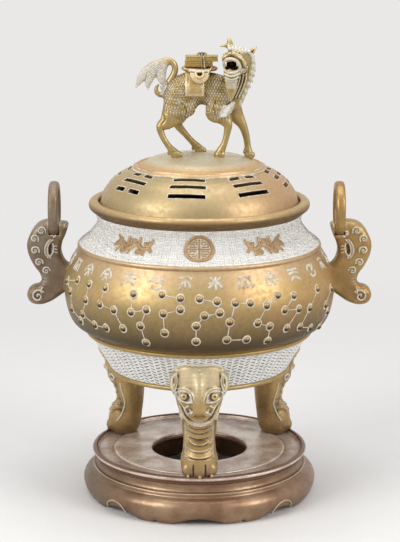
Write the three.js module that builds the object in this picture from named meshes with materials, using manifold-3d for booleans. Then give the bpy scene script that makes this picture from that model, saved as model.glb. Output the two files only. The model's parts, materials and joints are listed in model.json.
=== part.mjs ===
// Lidded tripod incense burner of cast brass on a lobed round stand.
// Millimetres, +Z up, origin on the floor under the middle of the stand. The front leg points along -Y,
// the handles lie along +X and -X, and the beast on the lid walks towards +X.
import * as THREE from "three";
import { mergeVertices } from "three/addons/utils/BufferGeometryUtils.js";
import Module from "manifold-3d";

const wasm = await Module();
wasm.setup();

// Fits and facets
const SEAT_GAP = 0.3; // between pieces that seat on each other
const RIVET_CLEARANCE = 0.3; // round a rivet in its hole
const ROUND_STEPS = 36; // facets round the bowl, the lid and the stand
const WELD = 1e-3; // vertices closer than this are one vertex

// Stand
const PLATE_TOP = 45; // upper face of the stand's plate, on which the feet stand
const PLATE_RADIUS = 109.6; // to the outside of the plate's raised rim
const PLATE_THICKNESS = 6;
const PLATE_HOLE_RADIUS = 48.5;
const PLATE_HOLE_BEVEL = 2.5;
const PLATE_STEP_RADIUS = 86.8; // edge of the slightly raised middle disc
const PLATE_STEP = 1;
const RIM_HEIGHT = 2.8; // of the plate's rim above the plate
const RIM_WIDTH = 5;
const WAIST_RADIUS = 104.5;
const WAIST_WALL = 7;
const APRON_TOP = 30; // top of the bead that tops the apron
const APRON_SHOULDER_RADIUS = 109;
const APRON_RADIUS = 119;
const APRON_BULGE_HEIGHT = 14;
const APRON_FOOT_RADIUS = 113;
const APRON_WALL = 8;
const APRON_FEET = 8;
const APRON_TURN = 22.5; // degrees that the first foot is turned from the front
const APRON_NOTCH = 1.6; // height of the small notch in the middle of a foot
const APRON_ARCH_RISE = 6;
const APRON_STEPS = 96;

// Bowl: radii and heights of its outer face
const BASE_HEIGHT = 128; // underside of the bowl
const BASE_RADIUS = 87;
const BASE_RIDGE_RADIUS = 91.6;
const BASE_RIDGE_HEIGHT = 131.7;
const BAND_MIDDLE_RADIUS = 99;
const LOWER_RIDGE_RADIUS = 114.6;
const LOWER_RIDGE_HEIGHT = 171;
const BAND_MIDDLE_HEIGHT = (BASE_RIDGE_HEIGHT + LOWER_RIDGE_HEIGHT) / 2 - 1.4;
const BELLY_RADIUS = 136.2;
const BELLY_HEIGHT = 217;
const NECK_RIDGE_RADIUS = 122.2;
const NECK_RIDGE_HEIGHT = 258.7;
const NECK_RADIUS = 101.5;
const NECK_HEIGHT = 283;
const MOUTH_TOP = 304.4; // top of the rolled rim
const MOUTH_RADIUS = 110.6; // to the outside of the rolled rim
const MOUTH_ROLL = 10; // height of the rolled rim
const RIDGE_OUT = 1.6; // how far a ridge stands out
const RIDGE_HALF = 2; // half a ridge's height
const BOWL_WALL = 4;
const LEDGE_DEPTH = 6; // from the mouth's top down to the ledge that carries the lid
const LEDGE_WIDTH = 8;
const MOUTH_BORE_RADIUS = 101.2;

// Lid
const LID_CLEARANCE = 2.2; // between the lid's edge and the mouth
const LID_WALL = 3.5;
const LID_COLLAR_DEPTH = 7; // of the lid's locating collar below the ledge
const LID_COLLAR_CLEARANCE = 1;
const CROWN_RADIUS = 63.7;
const CROWN_HEIGHT = 336.6;
const CROWN_STEP = 2.4; // height of the crown's edge over the dome
const CROWN_TOP = CROWN_HEIGHT + 13.2;
// The dome between the lid's edge and its crown: radius, and share of its rise.
const DOME = [
  [95.5, 0.367],
  [86, 0.689],
  [77, 0.85],
];
const VENT_WIDTH = 4.8;
const VENT_RING_TURN = -8; // degrees that the vents are turned from the front
const VENT_GAP = 7; // bridge in the middle of a broken row
// One entry for each row of vents: radius on the dome and length of a whole row.
const VENT_ROWS = [
  { radius: 88.4, length: 36.5 },
  { radius: 79, length: 35 },
  { radius: 68.9, length: 30.5 },
];
// The eight trigrams in the order of the later heaven, each from its bottom row to its top row; 1 is a whole row.
const TRIGRAMS = ["111", "110", "000", "101", "011", "100", "001", "010"];

// Legs
const LEG_ANGLES = { front: -90, right: 33, left: 147 };
const LEG_RIVET_HEIGHT = BAND_MIDDLE_HEIGHT - 2;
const LEG_RIVET_SPREAD = 9; // sideways from the leg's middle
const RIVET_RADIUS = 2.4;
const RIVET_HEAD_RADIUS = 5;
const RIVET_HEAD_HEIGHT = 2.4;
const RIVET_BITE = 7; // how far a rivet reaches into the piece that it holds

// Handles
const HANDLE_THICKNESS = 26;
const HANDLE_ROUNDING = 7;
const HANDLE_RIVET_HEIGHTS = [219, 230];
const RING_OUTER_RADIUS = 27.4;
const RING_BAR = 7.8; // the ring's section across its plane is RING_WIDTH
const RING_WIDTH = 9.6;
const RING_HEIGHT = 294;
// The side that each handle is on, and the distance of its ring from the axis.
const HANDLES = {
  right: { sign: 1, ring: BELLY_RADIUS + 4.2 },
  left: { sign: -1, ring: BELLY_RADIUS + 9 },
};

// Beast on the lid
const HOOF_RIVET_RADIUS = 1.3;
const HOOF_RIVET_HEAD_RADIUS = 3;
const HOOF_RIVET_BITE = 4;
const HOOVES = {
  rear_near: { x: -22, y: -15 },
  rear_far: { x: 1.5, y: 15 },
  front_near: { x: 19.5, y: -13 },
  front_far: { x: 50, y: 9 },
};

const rad = THREE.MathUtils.degToRad;

// A geometry as a manifold-3d solid, with its faces turned outwards.
function solidOf(geometry) {
  const bare = geometry.index ? geometry.toNonIndexed() : geometry.clone();
  for (const name of Object.keys(bare.attributes)) {
    if (name !== "position") bare.deleteAttribute(name);
  }
  const merged = mergeVertices(bare, WELD);
  const index = merged.index.array;
  const triangles = [];
  for (let i = 0; i < index.length; i += 3) {
    const [a, b, c] = [index[i], index[i + 1], index[i + 2]];
    if (a !== b && b !== c && c !== a) triangles.push(a, b, c);
  }
  const build = (order) =>
    new wasm.Manifold(
      new wasm.Mesh({
        numProp: 3,
        vertProperties: merged.attributes.position.array,
        triVerts: new Uint32Array(order),
      }),
    );
  const solid = build(triangles);
  if (solid.volume() >= 0) return solid;
  const turned = triangles.slice();
  for (let i = 0; i < turned.length; i += 3) {
    [turned[i + 1], turned[i + 2]] = [turned[i + 2], turned[i + 1]];
  }
  return build(turned);
}

function geometryOf(solid) {
  const mesh = solid.getMesh();
  const geometry = new THREE.BufferGeometry();
  geometry.setAttribute("position", new THREE.BufferAttribute(new Float32Array(mesh.vertProperties), 3));
  geometry.setIndex(new THREE.BufferAttribute(new Uint32Array(mesh.triVerts), 1));
  geometry.computeVertexNormals();
  return geometry;
}

const join = (solids) => solids.reduce((all, one) => all.add(one));
const cutBy = (solid, tools) => tools.reduce((left, tool) => left.subtract(tool), solid);
const placed = (geometry, matrix) => geometry.clone().applyMatrix4(matrix);

// Turns a profile of [radius, height] points about +Z. It starts and ends on the axis, or is a closed ring.
function revolve(profile, steps = ROUND_STEPS) {
  const onAxis = profile[0][0] === 0 && profile[profile.length - 1][0] === 0;
  const points = (onAxis ? profile : [...profile, profile[0]]).map(([r, z]) => new THREE.Vector2(r, z));
  return new THREE.LatheGeometry(points, steps).rotateX(Math.PI / 2);
}

// Joins rings of equally many points into a closed skin, with a fan at each end.
function skin(rings) {
  const sides = rings[0].length;
  const positions = [];
  const quad = (a, b, c, d) => positions.push(...a, ...b, ...c, ...a, ...c, ...d);
  for (let i = 0; i + 1 < rings.length; i++) {
    for (let k = 0; k < sides; k++) {
      const n = (k + 1) % sides;
      quad(rings[i][k], rings[i][n], rings[i + 1][n], rings[i + 1][k]);
    }
  }
  const cap = (ring, turn) => {
    const middle = [0, 1, 2].map((j) => ring.reduce((sum, p) => sum + p[j], 0) / sides);
    for (let k = 0; k < sides; k++) {
      const n = (k + 1) % sides;
      positions.push(...middle, ...(turn ? ring[k] : ring[n]), ...(turn ? ring[n] : ring[k]));
    }
  };
  cap(rings[0], false);
  cap(rings[rings.length - 1], true);
  return new THREE.BufferGeometry().setAttribute("position", new THREE.Float32BufferAttribute(positions, 3));
}

// A rounded body along stations { at: [x, y, z], wide, deep }: half its size across and along the reference
// direction at each one. grow swells it evenly.
function limb(stations, { sides = 8, reference = [1, 0, 0], grow = 0 } = {}) {
  const centres = stations.map((s) => new THREE.Vector3(...s.at));
  const along = new THREE.Vector3(...reference);
  const last = stations.length - 1;
  const rings = stations.map((station, i) => {
    const tangent = centres[Math.min(i + 1, last)].clone().sub(centres[Math.max(i - 1, 0)]).normalize();
    const across = tangent.clone().cross(along).normalize();
    const deep = across.clone().cross(tangent).normalize();
    const end = i === 0 ? -grow : i === last ? grow : 0;
    return Array.from({ length: sides }, (_, k) => {
      const a = (2 * Math.PI * (k + 0.5)) / sides;
      return centres[i]
        .clone()
        .addScaledVector(tangent, end)
        .addScaledVector(across, Math.cos(a) * (station.wide + grow))
        .addScaledVector(deep, Math.sin(a) * (station.deep + grow))
        .toArray();
    });
  });
  return solidOf(skin(rings));
}

// A closed ring whose section, a list of [radius, height], depends on the angle.
function ringOfSections(sectionAt, steps) {
  const sections = Array.from({ length: steps }, (_, i) => {
    const a = (2 * Math.PI * i) / steps;
    return sectionAt(a).map(([r, z]) => [r * Math.cos(a), r * Math.sin(a), z]);
  });
  const positions = [];
  const points = sections[0].length;
  sections.forEach((here, i) => {
    const next = sections[(i + 1) % steps];
    for (let k = 0; k < points; k++) {
      const n = (k + 1) % points;
      positions.push(...here[k], ...next[k], ...next[n], ...here[k], ...next[n], ...here[n]);
    }
  });
  return solidOf(
    new THREE.BufferGeometry().setAttribute("position", new THREE.Float32BufferAttribute(positions, 3)),
  );
}

// Points of a smooth curve through [radius, height] knots.
function smooth(knots, count) {
  const curve = new THREE.CatmullRomCurve3(knots.map(([r, z]) => new THREE.Vector3(r, 0, z)));
  return curve.getPoints(count).map((p) => [p.x, p.z]);
}

// A rounded ridge on a wall, as three points of its profile.
const ridge = (radius, height) => [
  [radius - RIDGE_OUT, height - RIDGE_HALF],
  [radius, height],
  [radius - RIDGE_OUT, height + RIDGE_HALF],
];

// Outer face of the bowl from the middle of its base to the outside of its mouth.
function bowlOutside() {
  const band = smooth(
    [
      [BASE_RIDGE_RADIUS - RIDGE_OUT, BASE_RIDGE_HEIGHT + RIDGE_HALF],
      [BAND_MIDDLE_RADIUS, BAND_MIDDLE_HEIGHT],
      [LOWER_RIDGE_RADIUS - 6, LOWER_RIDGE_HEIGHT - 5],
    ],
    3,
  );
  const belly = smooth(
    [
      [LOWER_RIDGE_RADIUS - RIDGE_OUT, LOWER_RIDGE_HEIGHT + RIDGE_HALF],
      [BELLY_RADIUS - 7.6, BELLY_HEIGHT - 33],
      [BELLY_RADIUS, BELLY_HEIGHT],
      [BELLY_RADIUS - 4.4, BELLY_HEIGHT + 20],
      [NECK_RIDGE_RADIUS - RIDGE_OUT, NECK_RIDGE_HEIGHT - RIDGE_HALF],
    ],
    8,
  );
  const neck = smooth(
    [
      [NECK_RIDGE_RADIUS - RIDGE_OUT, NECK_RIDGE_HEIGHT + RIDGE_HALF],
      [NECK_RADIUS + 8, NECK_HEIGHT - 13],
      [NECK_RADIUS, NECK_HEIGHT],
      [NECK_RADIUS + 2, MOUTH_TOP - MOUTH_ROLL - 3],
    ],
    5,
  );
  return [
    [0, BASE_HEIGHT],
    [BASE_RADIUS, BASE_HEIGHT],
    ...ridge(BASE_RIDGE_RADIUS, BASE_RIDGE_HEIGHT).slice(0, 2),
    ...band,
    ...ridge(LOWER_RIDGE_RADIUS, LOWER_RIDGE_HEIGHT).slice(0, 2),
    ...belly,
    [NECK_RIDGE_RADIUS, NECK_RIDGE_HEIGHT],
    ...neck,
    [NECK_RADIUS + 5, MOUTH_TOP - MOUTH_ROLL],
  ];
}

// The rolled rim, from under its outside over the top to the ledge inside.
const mouthRoll = () => [
  [MOUTH_RADIUS - 1.5, MOUTH_TOP - MOUTH_ROLL + 1.5],
  [MOUTH_RADIUS, MOUTH_TOP - MOUTH_ROLL / 2],
  [MOUTH_RADIUS - 2, MOUTH_TOP - 1.2],
  [MOUTH_RADIUS - 5, MOUTH_TOP],
  [MOUTH_BORE_RADIUS, MOUTH_TOP - 0.8],
  [MOUTH_BORE_RADIUS, MOUTH_TOP - LEDGE_DEPTH],
  [MOUTH_BORE_RADIUS - LEDGE_WIDTH, MOUTH_TOP - LEDGE_DEPTH],
];

// Inner face of the bowl, one wall inside the outer face, from the ledge down to the middle of its floor.
const bowlInside = () => [
  [MOUTH_BORE_RADIUS - LEDGE_WIDTH, MOUTH_TOP - LEDGE_DEPTH - 4],
  [NECK_RADIUS - BOWL_WALL, NECK_HEIGHT],
  [NECK_RIDGE_RADIUS - RIDGE_OUT - BOWL_WALL, NECK_RIDGE_HEIGHT],
  [BELLY_RADIUS - 4.4 - BOWL_WALL, BELLY_HEIGHT + 20],
  [BELLY_RADIUS - BOWL_WALL, BELLY_HEIGHT],
  [BELLY_RADIUS - 8 - BOWL_WALL, BELLY_HEIGHT - 32],
  [LOWER_RIDGE_RADIUS - RIDGE_OUT - 2 * BOWL_WALL, LOWER_RIDGE_HEIGHT + BOWL_WALL],
  [BAND_MIDDLE_RADIUS - BOWL_WALL, BAND_MIDDLE_HEIGHT + 2],
  [BASE_RADIUS - 2, BASE_HEIGHT + BOWL_WALL + 3],
  [BASE_RADIUS - 8, BASE_HEIGHT + BOWL_WALL],
  [0, BASE_HEIGHT + BOWL_WALL],
];

// The bowl without its hollow, swelled by the seat gap: what its legs and handles are fitted to.
function bowlFilled() {
  const swelled = bowlOutside().map(([r, z], i) => [
    i === 0 ? 0 : r + SEAT_GAP,
    z <= BASE_HEIGHT ? z - SEAT_GAP : z,
  ]);
  return solidOf(revolve([...swelled, [0, MOUTH_TOP - MOUTH_ROLL]]));
}

// A solid of turned section about a direction in space: profile of [radius, distance along the direction].
function turnedAlong(profile, origin, direction, steps = 8) {
  const turn = new THREE.Quaternion().setFromUnitVectors(
    new THREE.Vector3(0, 0, 1),
    new THREE.Vector3(...direction).normalize(),
  );
  const matrix = new THREE.Matrix4().compose(new THREE.Vector3(...origin), turn, new THREE.Vector3(1, 1, 1));
  return solidOf(placed(revolve(profile, steps), matrix));
}

// A rivet with a low domed head whose underside is at the origin; its shank runs along the direction.
function rivetProfile(radius, headRadius, headHeight, length, clearance = 0) {
  return [
    [0, -headHeight - clearance],
    [headRadius * 0.6 + clearance, -headHeight * 0.85 - clearance],
    [headRadius + clearance, 0],
    [radius + clearance, 0],
    [radius + clearance, length + clearance],
    [0, length + clearance],
  ];
}

const holeProfile = (radius, from, to) => [
  [0, from],
  [radius, from],
  [radius, to],
  [0, to],
];

// Rivets that hold the legs: seat of the head inside the bowl, and outward direction.
function legRivets(angle) {
  const out = [Math.cos(rad(angle)), Math.sin(rad(angle)), 0];
  const side = [-out[1], out[0], 0];
  const seat = BAND_MIDDLE_RADIUS - BOWL_WALL - 3.2;
  return [-1, 1].map((sign) => ({
    at: [0, 1, 2].map((j) => out[j] * seat + side[j] * sign * LEG_RIVET_SPREAD + (j === 2 ? LEG_RIVET_HEIGHT : 0)),
    direction: out,
  }));
}

function handleRivets({ sign }) {
  const seat = BELLY_RADIUS - BOWL_WALL - 0.6;
  return HANDLE_RIVET_HEIGHTS.map((z) => ({ at: [sign * seat, 0, z], direction: [sign, 0, 0] }));
}

const shankLength = BOWL_WALL + RIVET_BITE;
const rivetSolid = ({ at, direction }) =>
  turnedAlong(rivetProfile(RIVET_RADIUS, RIVET_HEAD_RADIUS, RIVET_HEAD_HEIGHT, shankLength), at, direction);
const rivetHole = ({ at, direction }) =>
  turnedAlong(
    holeProfile(RIVET_RADIUS + RIVET_CLEARANCE, -SEAT_GAP, shankLength + 2 * RIVET_CLEARANCE),
    at,
    direction,
  );
// The flat that is faced on the bowl's inside under a rivet's head.
const rivetFacing = ({ at, direction }) =>
  turnedAlong(holeProfile(RIVET_HEAD_RADIUS + 1, -10, 0.6 - SEAT_GAP), at, direction, 12);

function bowl() {
  const solid = solidOf(revolve([...bowlOutside(), ...mouthRoll(), ...bowlInside()]));
  const rivets = [
    ...Object.values(LEG_ANGLES).flatMap(legRivets),
    ...Object.values(HANDLES).flatMap(handleRivets),
  ];
  return cutBy(solid, [...rivets.map(rivetHole), ...rivets.map(rivetFacing)]);
}

const lidEdge = MOUTH_BORE_RADIUS - LID_CLEARANCE;
const lidSeat = MOUTH_TOP - LEDGE_DEPTH + SEAT_GAP;
const domeHeight = (share) => lidSeat + share * (CROWN_HEIGHT - lidSeat);

// The dome's outer face as [radius, height], from the lid's edge to its crown.
const dome = () =>
  smooth(
    [
      [lidEdge, lidSeat + 3],
      ...DOME.map(([radius, share]) => [radius, domeHeight(share)]),
      [CROWN_RADIUS + 1.5, CROWN_HEIGHT - 0.8],
    ],
    6,
  );

// Height at a radius on a line of [radius, height] points that runs inwards.
function heightAt(points, radius) {
  for (let i = 0; i + 1 < points.length; i++) {
    const [[r0, z0], [r1, z1]] = [points[i], points[i + 1]];
    if (radius <= r0 && radius >= r1) return z0 + ((z1 - z0) * (radius - r0)) / (r1 - r0);
  }
  return points[points.length - 1][1];
}

// Outer face of the lid from its edge to the middle of its crown.
function lidOutside() {
  return [
    [lidEdge, lidSeat],
    ...dome(),
    [CROWN_RADIUS, CROWN_HEIGHT + CROWN_STEP],
    [CROWN_RADIUS - 3, CROWN_HEIGHT + CROWN_STEP + 0.6],
    [CROWN_RADIUS - 5, CROWN_HEIGHT + CROWN_STEP],
    ...smooth(
      [
        [CROWN_RADIUS - 6, CROWN_HEIGHT + CROWN_STEP + 1.4],
        [45, CROWN_TOP - 4.2],
        [26, CROWN_TOP - 1.3],
        [0, CROWN_TOP],
      ],
      5,
    ),
  ];
}

// Inner face of the lid from the middle of its crown to the foot of its collar.
function lidInside() {
  const collar = MOUTH_BORE_RADIUS - LEDGE_WIDTH - LID_COLLAR_CLEARANCE;
  const [low, middle, high] = DOME.map(([radius, share]) => [radius, domeHeight(share)]);
  return [
    [0, CROWN_TOP - LID_WALL],
    [CROWN_RADIUS - 8, CROWN_HEIGHT + CROWN_STEP - LID_WALL],
    [high[0] - 1.5, high[1] - LID_WALL],
    [middle[0] - 3, middle[1] - LID_WALL],
    [collar - LID_WALL, low[1]],
    [collar - LID_WALL, lidSeat - LID_COLLAR_DEPTH],
    [collar, lidSeat - LID_COLLAR_DEPTH],
    [collar, lidSeat],
  ];
}

// Slots cut through the dome, a trigram every eighth of a turn.
function vents() {
  const tools = [];
  TRIGRAMS.forEach((rows, place) => {
    const turn = rad(-90 + VENT_RING_TURN + (place * 360) / TRIGRAMS.length);
    VENT_ROWS.forEach(({ radius, length }, row) => {
      const height = heightAt(dome(), radius);
      const piece = (length - VENT_GAP) / 2;
      const bars = rows[row] === "1" ? [[0, length]] : [-1, 1].map((s) => [(s * (piece + VENT_GAP)) / 2, piece]);
      for (const [sideways, size] of bars) {
        const slope = Math.atan2(radius - 40, height - MOUTH_TOP + 4);
        const tool = new THREE.BoxGeometry(24, size, VENT_WIDTH)
          .rotateY(slope - Math.PI / 2)
          .translate(radius, sideways, height)
          .rotateZ(turn);
        tools.push(solidOf(tool));
      }
    });
  });
  return tools;
}

// Height of the crown's outer face at a radius.
const crownHeightAt = (radius) => heightAt(lidOutside().filter(([r]) => r <= CROWN_RADIUS - 5), radius);

const hoofHeight = ({ x, y }) => crownHeightAt(Math.hypot(x, y));
const hoofRivetAt = (hoof) => [hoof.x, hoof.y, hoofHeight(hoof) - LID_WALL - 1.2];
const hoofShank = LID_WALL + 1.2 + HOOF_RIVET_BITE;
const hoofRivet = (hoof) =>
  turnedAlong(rivetProfile(HOOF_RIVET_RADIUS, HOOF_RIVET_HEAD_RADIUS, 1.6, hoofShank), hoofRivetAt(hoof), [0, 0, 1]);
const hoofRivetHole = (hoof) =>
  turnedAlong(
    holeProfile(HOOF_RIVET_RADIUS + RIVET_CLEARANCE, -SEAT_GAP, hoofShank + 2 * RIVET_CLEARANCE),
    hoofRivetAt(hoof),
    [0, 0, 1],
  );
const hoofFacing = (hoof) =>
  turnedAlong(holeProfile(HOOF_RIVET_HEAD_RADIUS + 1, -8, SEAT_GAP), hoofRivetAt(hoof), [0, 0, 1], 12);

function lid() {
  const solid = solidOf(revolve([...lidOutside(), ...lidInside()]));
  const hooves = Object.values(HOOVES);
  return cutBy(solid, [...vents(), ...hooves.map(hoofRivetHole), ...hooves.map(hoofFacing)]);
}

// The lid's crown as a filled body, swelled by the seat gap: what the hooves are fitted to.
function crownFilled() {
  const outer = lidOutside().filter(([r]) => r <= CROWN_RADIUS);
  const swelled = outer.map(([r, z]) => [r, z + SEAT_GAP]);
  return solidOf(revolve([[0, CROWN_HEIGHT - 12], [CROWN_RADIUS, CROWN_HEIGHT - 12], ...swelled]));
}

// Moves local stations [out, side, height] of a leg to their place on the circle.
function aroundAxis(stations, angle) {
  const [c, s] = [Math.cos(rad(angle)), Math.sin(rad(angle))];
  return stations.map(({ out, side = 0, z, wide, deep }) => ({
    at: [out * c - side * s, out * s + side * c, z],
    wide,
    deep,
  }));
}

// A leg: shank and paw below, and the beast's mask that laps over the bowl's lower band.
function leg(angle, fitted) {
  const radial = [Math.cos(rad(angle)), Math.sin(rad(angle)), 0];
  const foot = PLATE_TOP + SEAT_GAP;
  const build = (stations, sides = 10) =>
    limb(aroundAxis(stations, angle), { sides, reference: radial });
  const shank = build([
    { out: 85, z: BASE_HEIGHT + 6, wide: 21, deep: 16 },
    { out: 86, z: 118, wide: 19.6, deep: 15.4 },
    { out: 86.6, z: 104, wide: 17.2, deep: 14.8 },
    { out: 86, z: 90, wide: 15.6, deep: 13.2 },
    { out: 86.4, z: 78, wide: 15.2, deep: 12.8 },
    { out: 89.6, z: 70, wide: 16.4, deep: 14.9 },
    { out: 92.8, z: 63.5, wide: 18.2, deep: 17.2 },
    { out: 94, z: 56.5, wide: 18.6, deep: 16.6 },
    { out: 92.6, z: 50, wide: 16, deep: 12.6 },
    { out: 92.6, z: foot, wide: 11.5, deep: 8.5 },
  ]);
  const mask = build(
    [
      { out: 96, z: 164, wide: 22, deep: 7 },
      { out: 96, z: 160, wide: 28, deep: 11 },
      { out: 95, z: 148, wide: 29.5, deep: 14 },
      { out: 94, z: 134, wide: 28, deep: 16 },
      { out: 93, z: 122, wide: 24.5, deep: 17 },
      { out: 92, z: 111, wide: 21.5, deep: 18 },
      { out: 90, z: 102, wide: 18.5, deep: 15.5 },
      { out: 87, z: 97, wide: 15, deep: 11 },
    ],
    12,
  );
  const ears = [-1, 1].map((sign) =>
    build(
      [
        { out: 97, side: sign * 25, z: 158, wide: 3, deep: 4 },
        { out: 99, side: sign * 28, z: 150, wide: 4.5, deep: 6.5 },
        { out: 99, side: sign * 28.5, z: 140, wide: 4, deep: 6.5 },
        { out: 98, side: sign * 27, z: 132, wide: 2, deep: 4 },
      ],
      6,
    ),
  );
  const eyes = [-1, 1].map((sign) =>
    build(
      [
        { out: 107, side: sign * 14.5, z: 136, wide: 2.5, deep: 2 },
        { out: 107, side: sign * 15, z: 131, wide: 5.5, deep: 3.6 },
        { out: 106, side: sign * 15, z: 126, wide: 2.5, deep: 2 },
      ],
      6,
    ),
  );
  const muzzle = build(
    [
      { out: 101, z: 137, wide: 4, deep: 6 },
      { out: 102, z: 124, wide: 7, deep: 9 },
      { out: 103, z: 113, wide: 10.5, deep: 10 },
      { out: 101, z: 107, wide: 8, deep: 7 },
    ],
    8,
  );
  return cutBy(join([shank, mask, ...ears, ...eyes, muzzle]), [fitted, ...legRivets(angle).map(rivetHole)]);
}

// Outline of the handle, a curled elephant's head seen from the side: distance past the belly, and height.
function handleOutline() {
  const shape = new THREE.Shape();
  shape.moveTo(-4.9, 277.5); // inner tip
  shape.lineTo(-2.7, 280);
  shape.lineTo(3.3, 280.5);
  shape.lineTo(13.8, 282.4);
  shape.quadraticCurveTo(25.8, 282.6, 31.8, 271.5); // crown of the head
  shape.quadraticCurveTo(39.2, 257, 33.4, 246);
  shape.quadraticCurveTo(29.8, 235.5, 24.4, 229.5); // neck of the trunk
  shape.quadraticCurveTo(20.2, 220, 24.8, 216.6);
  shape.quadraticCurveTo(37.3, 216.5, 37.8, 206.5); // tip of the trunk
  shape.quadraticCurveTo(35.8, 196, 23.8, 196.8);
  shape.quadraticCurveTo(13.8, 198, -2.2, 210.5);
  shape.lineTo(-6.2, 213);
  shape.lineTo(-6.2, 236);
  shape.lineTo(-1.7, 239);
  shape.quadraticCurveTo(4.8, 248, 1.4, 260); // inner side
  shape.quadraticCurveTo(-2.2, 268, -4.9, 277.5);
  return shape;
}

function handleRing({ sign, ring }, grow = 0) {
  const mean = RING_OUTER_RADIUS - RING_BAR / 2;
  const section = Array.from({ length: 8 }, (_, k) => {
    const a = (2 * Math.PI * (k + 0.5)) / 8;
    return [
      mean + (RING_BAR / 2 + grow) * Math.cos(a) * 1.05,
      (RING_WIDTH / 2 + grow) * Math.sin(a) * 1.05,
    ];
  });
  const matrix = new THREE.Matrix4()
    .makeTranslation(sign * ring, 0, RING_HEIGHT)
    .multiply(new THREE.Matrix4().makeRotationY(Math.PI / 2));
  return solidOf(placed(revolve(section, 28), matrix));
}

// A flat body with rounded edges: the same outline of [x, z] points at each level { y, inset }.
function cushion(outline, levels) {
  const count = outline.length;
  const rings = levels.map(({ y, inset }) =>
    outline.map(([x, z], i) => {
      const [xa, za] = outline[(i + count - 1) % count];
      const [xb, zb] = outline[(i + 1) % count];
      const length = Math.hypot(xb - xa, zb - za);
      return [x - (inset * (zb - za)) / length, y, z + (inset * (xb - xa)) / length];
    }),
  );
  const positions = [];
  for (let i = 0; i + 1 < rings.length; i++) {
    for (let k = 0; k < count; k++) {
      const n = (k + 1) % count;
      const [a, b, c, d] = [rings[i][k], rings[i][n], rings[i + 1][n], rings[i + 1][k]];
      positions.push(...a, ...b, ...c, ...a, ...c, ...d);
    }
  }
  const flat = outline.map(([x, z]) => new THREE.Vector2(x, z));
  const triangles = THREE.ShapeUtils.triangulateShape(flat, []);
  const cap = (ring, turn) => {
    for (const [a, b, c] of triangles) {
      positions.push(...ring[a], ...ring[turn ? b : c], ...ring[turn ? c : b]);
    }
  };
  cap(rings[0], false);
  cap(rings[rings.length - 1], true);
  return solidOf(
    new THREE.BufferGeometry().setAttribute("position", new THREE.Float32BufferAttribute(positions, 3)),
  );
}

function handle(place, fitted) {
  const points = handleOutline().getPoints(4).map((p) => [BELLY_RADIUS + p.x, p.y]).reverse();
  const outline = points.filter(([x, z], i) => {
    const [xn, zn] = points[(i + 1) % points.length];
    return Math.hypot(x - xn, z - zn) > 0.5;
  });
  const half = HANDLE_THICKNESS / 2;
  const body = cushion(outline, [
    { y: -half, inset: HANDLE_ROUNDING * 0.45 },
    { y: -half + HANDLE_ROUNDING * 0.7, inset: 0 },
    { y: half - HANDLE_ROUNDING * 0.7, inset: 0 },
    { y: half, inset: HANDLE_ROUNDING * 0.45 },
  ]);
  const turned = place.sign > 0 ? body : body.rotate([0, 0, 180]);
  const slotFloor = RING_HEIGHT - RING_OUTER_RADIUS + RING_BAR / 2;
  const slot = new THREE.BoxGeometry(RING_WIDTH * 1.05 + 2 * SEAT_GAP, 2 * HANDLE_THICKNESS, 30).translate(
    place.sign * place.ring, 0, slotFloor + 15,
  );
  return cutBy(turned, [
    fitted,
    handleRing(place, SEAT_GAP),
    solidOf(slot),
    ...handleRivets(place).map(rivetHole),
  ]);
}

// Stations of a limb from rows of [x, y, height over the crown, wide, deep].
const stations = (rows) =>
  rows.map(([x, y, height, wide, deep]) => ({ at: [x, y, CROWN_TOP + height], wide, deep }));

// Torso of the beast, along +X.
const torso = (grow = 0) =>
  limb(
    stations([
      [-37.5, 0, 55, 4, 7],
      [-34.5, 0, 57, 9, 12.5],
      [-26, 0, 59.5, 13.5, 16.8],
      [-10, 0, 64.3, 13.6, 17],
      [6, 0, 64.6, 13.4, 16.9],
      [20, 0, 61.5, 14, 17.6],
      [31, 0, 58, 13.5, 18.5],
      [39, 0, 55, 10, 13],
      [43.5, 0, 54, 4, 6],
    ]),
    { sides: 10, reference: [0, 0, 1], grow },
  );

// The beast's legs from hip or shoulder over joint and cannon to fetlock; the hoof's sole is sunk in the lid.
const BEAST_LEGS = {
  rear_near: [
    [-22, -8, 57, 8, 12],
    [-25, -10.5, 43, 7.6, 12.3],
    [-31.5, -12, 33, 5.4, 8],
    [-38.6, -12.6, 28.5, 4.1, 4.2],
    [-36.2, -13.6, 19, 3.1, 3.1],
    [-29.5, -14.6, 8.5, 3.1, 3.3],
    [-25.5, -15, 3.5, 4, 4.8],
  ],
  rear_far: [
    [-18, 8, 54, 8, 11],
    [-19, 11, 38, 6.5, 8],
    [-21.5, 12, 28, 4.2, 4.8],
    [-14, 13, 17.5, 3.2, 3.4],
    [-6.5, 14, 9, 3.3, 3.6],
    [-2.5, 15, 4.5, 3.9, 4.6],
  ],
  front_near: [
    [21, -8, 55, 7.5, 13],
    [20.5, -10.5, 44, 6.8, 12],
    [24.5, -11.6, 36.5, 5, 7.6],
    [28.3, -12, 30.5, 4.2, 4.7],
    [27.6, -12.3, 23, 3.2, 3.5],
    [24.6, -12.8, 12, 3.1, 3.2],
    [21.2, -13, 5.5, 3.8, 4.2],
  ],
  front_far: [
    [31, 7, 50, 7, 10],
    [36, 8.5, 38, 5.4, 8],
    [43, 9, 27, 4.2, 4.8],
    [46.8, 9, 16, 3.2, 3.8],
    [48.6, 9, 6, 3.2, 3.5],
    [48.8, 9, 1.5, 3.8, 3.9],
  ],
};

function beastLegs(grow = 0) {
  return Object.entries(BEAST_LEGS).map(([name, rows]) => {
    const hoof = HOOVES[name];
    const sole = [hoof.x, hoof.y, hoofHeight(hoof) - CROWN_TOP - 1, 4.6, 5.2];
    return limb(stations([...rows, sole]), { sides: 8, grow });
  });
}

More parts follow.
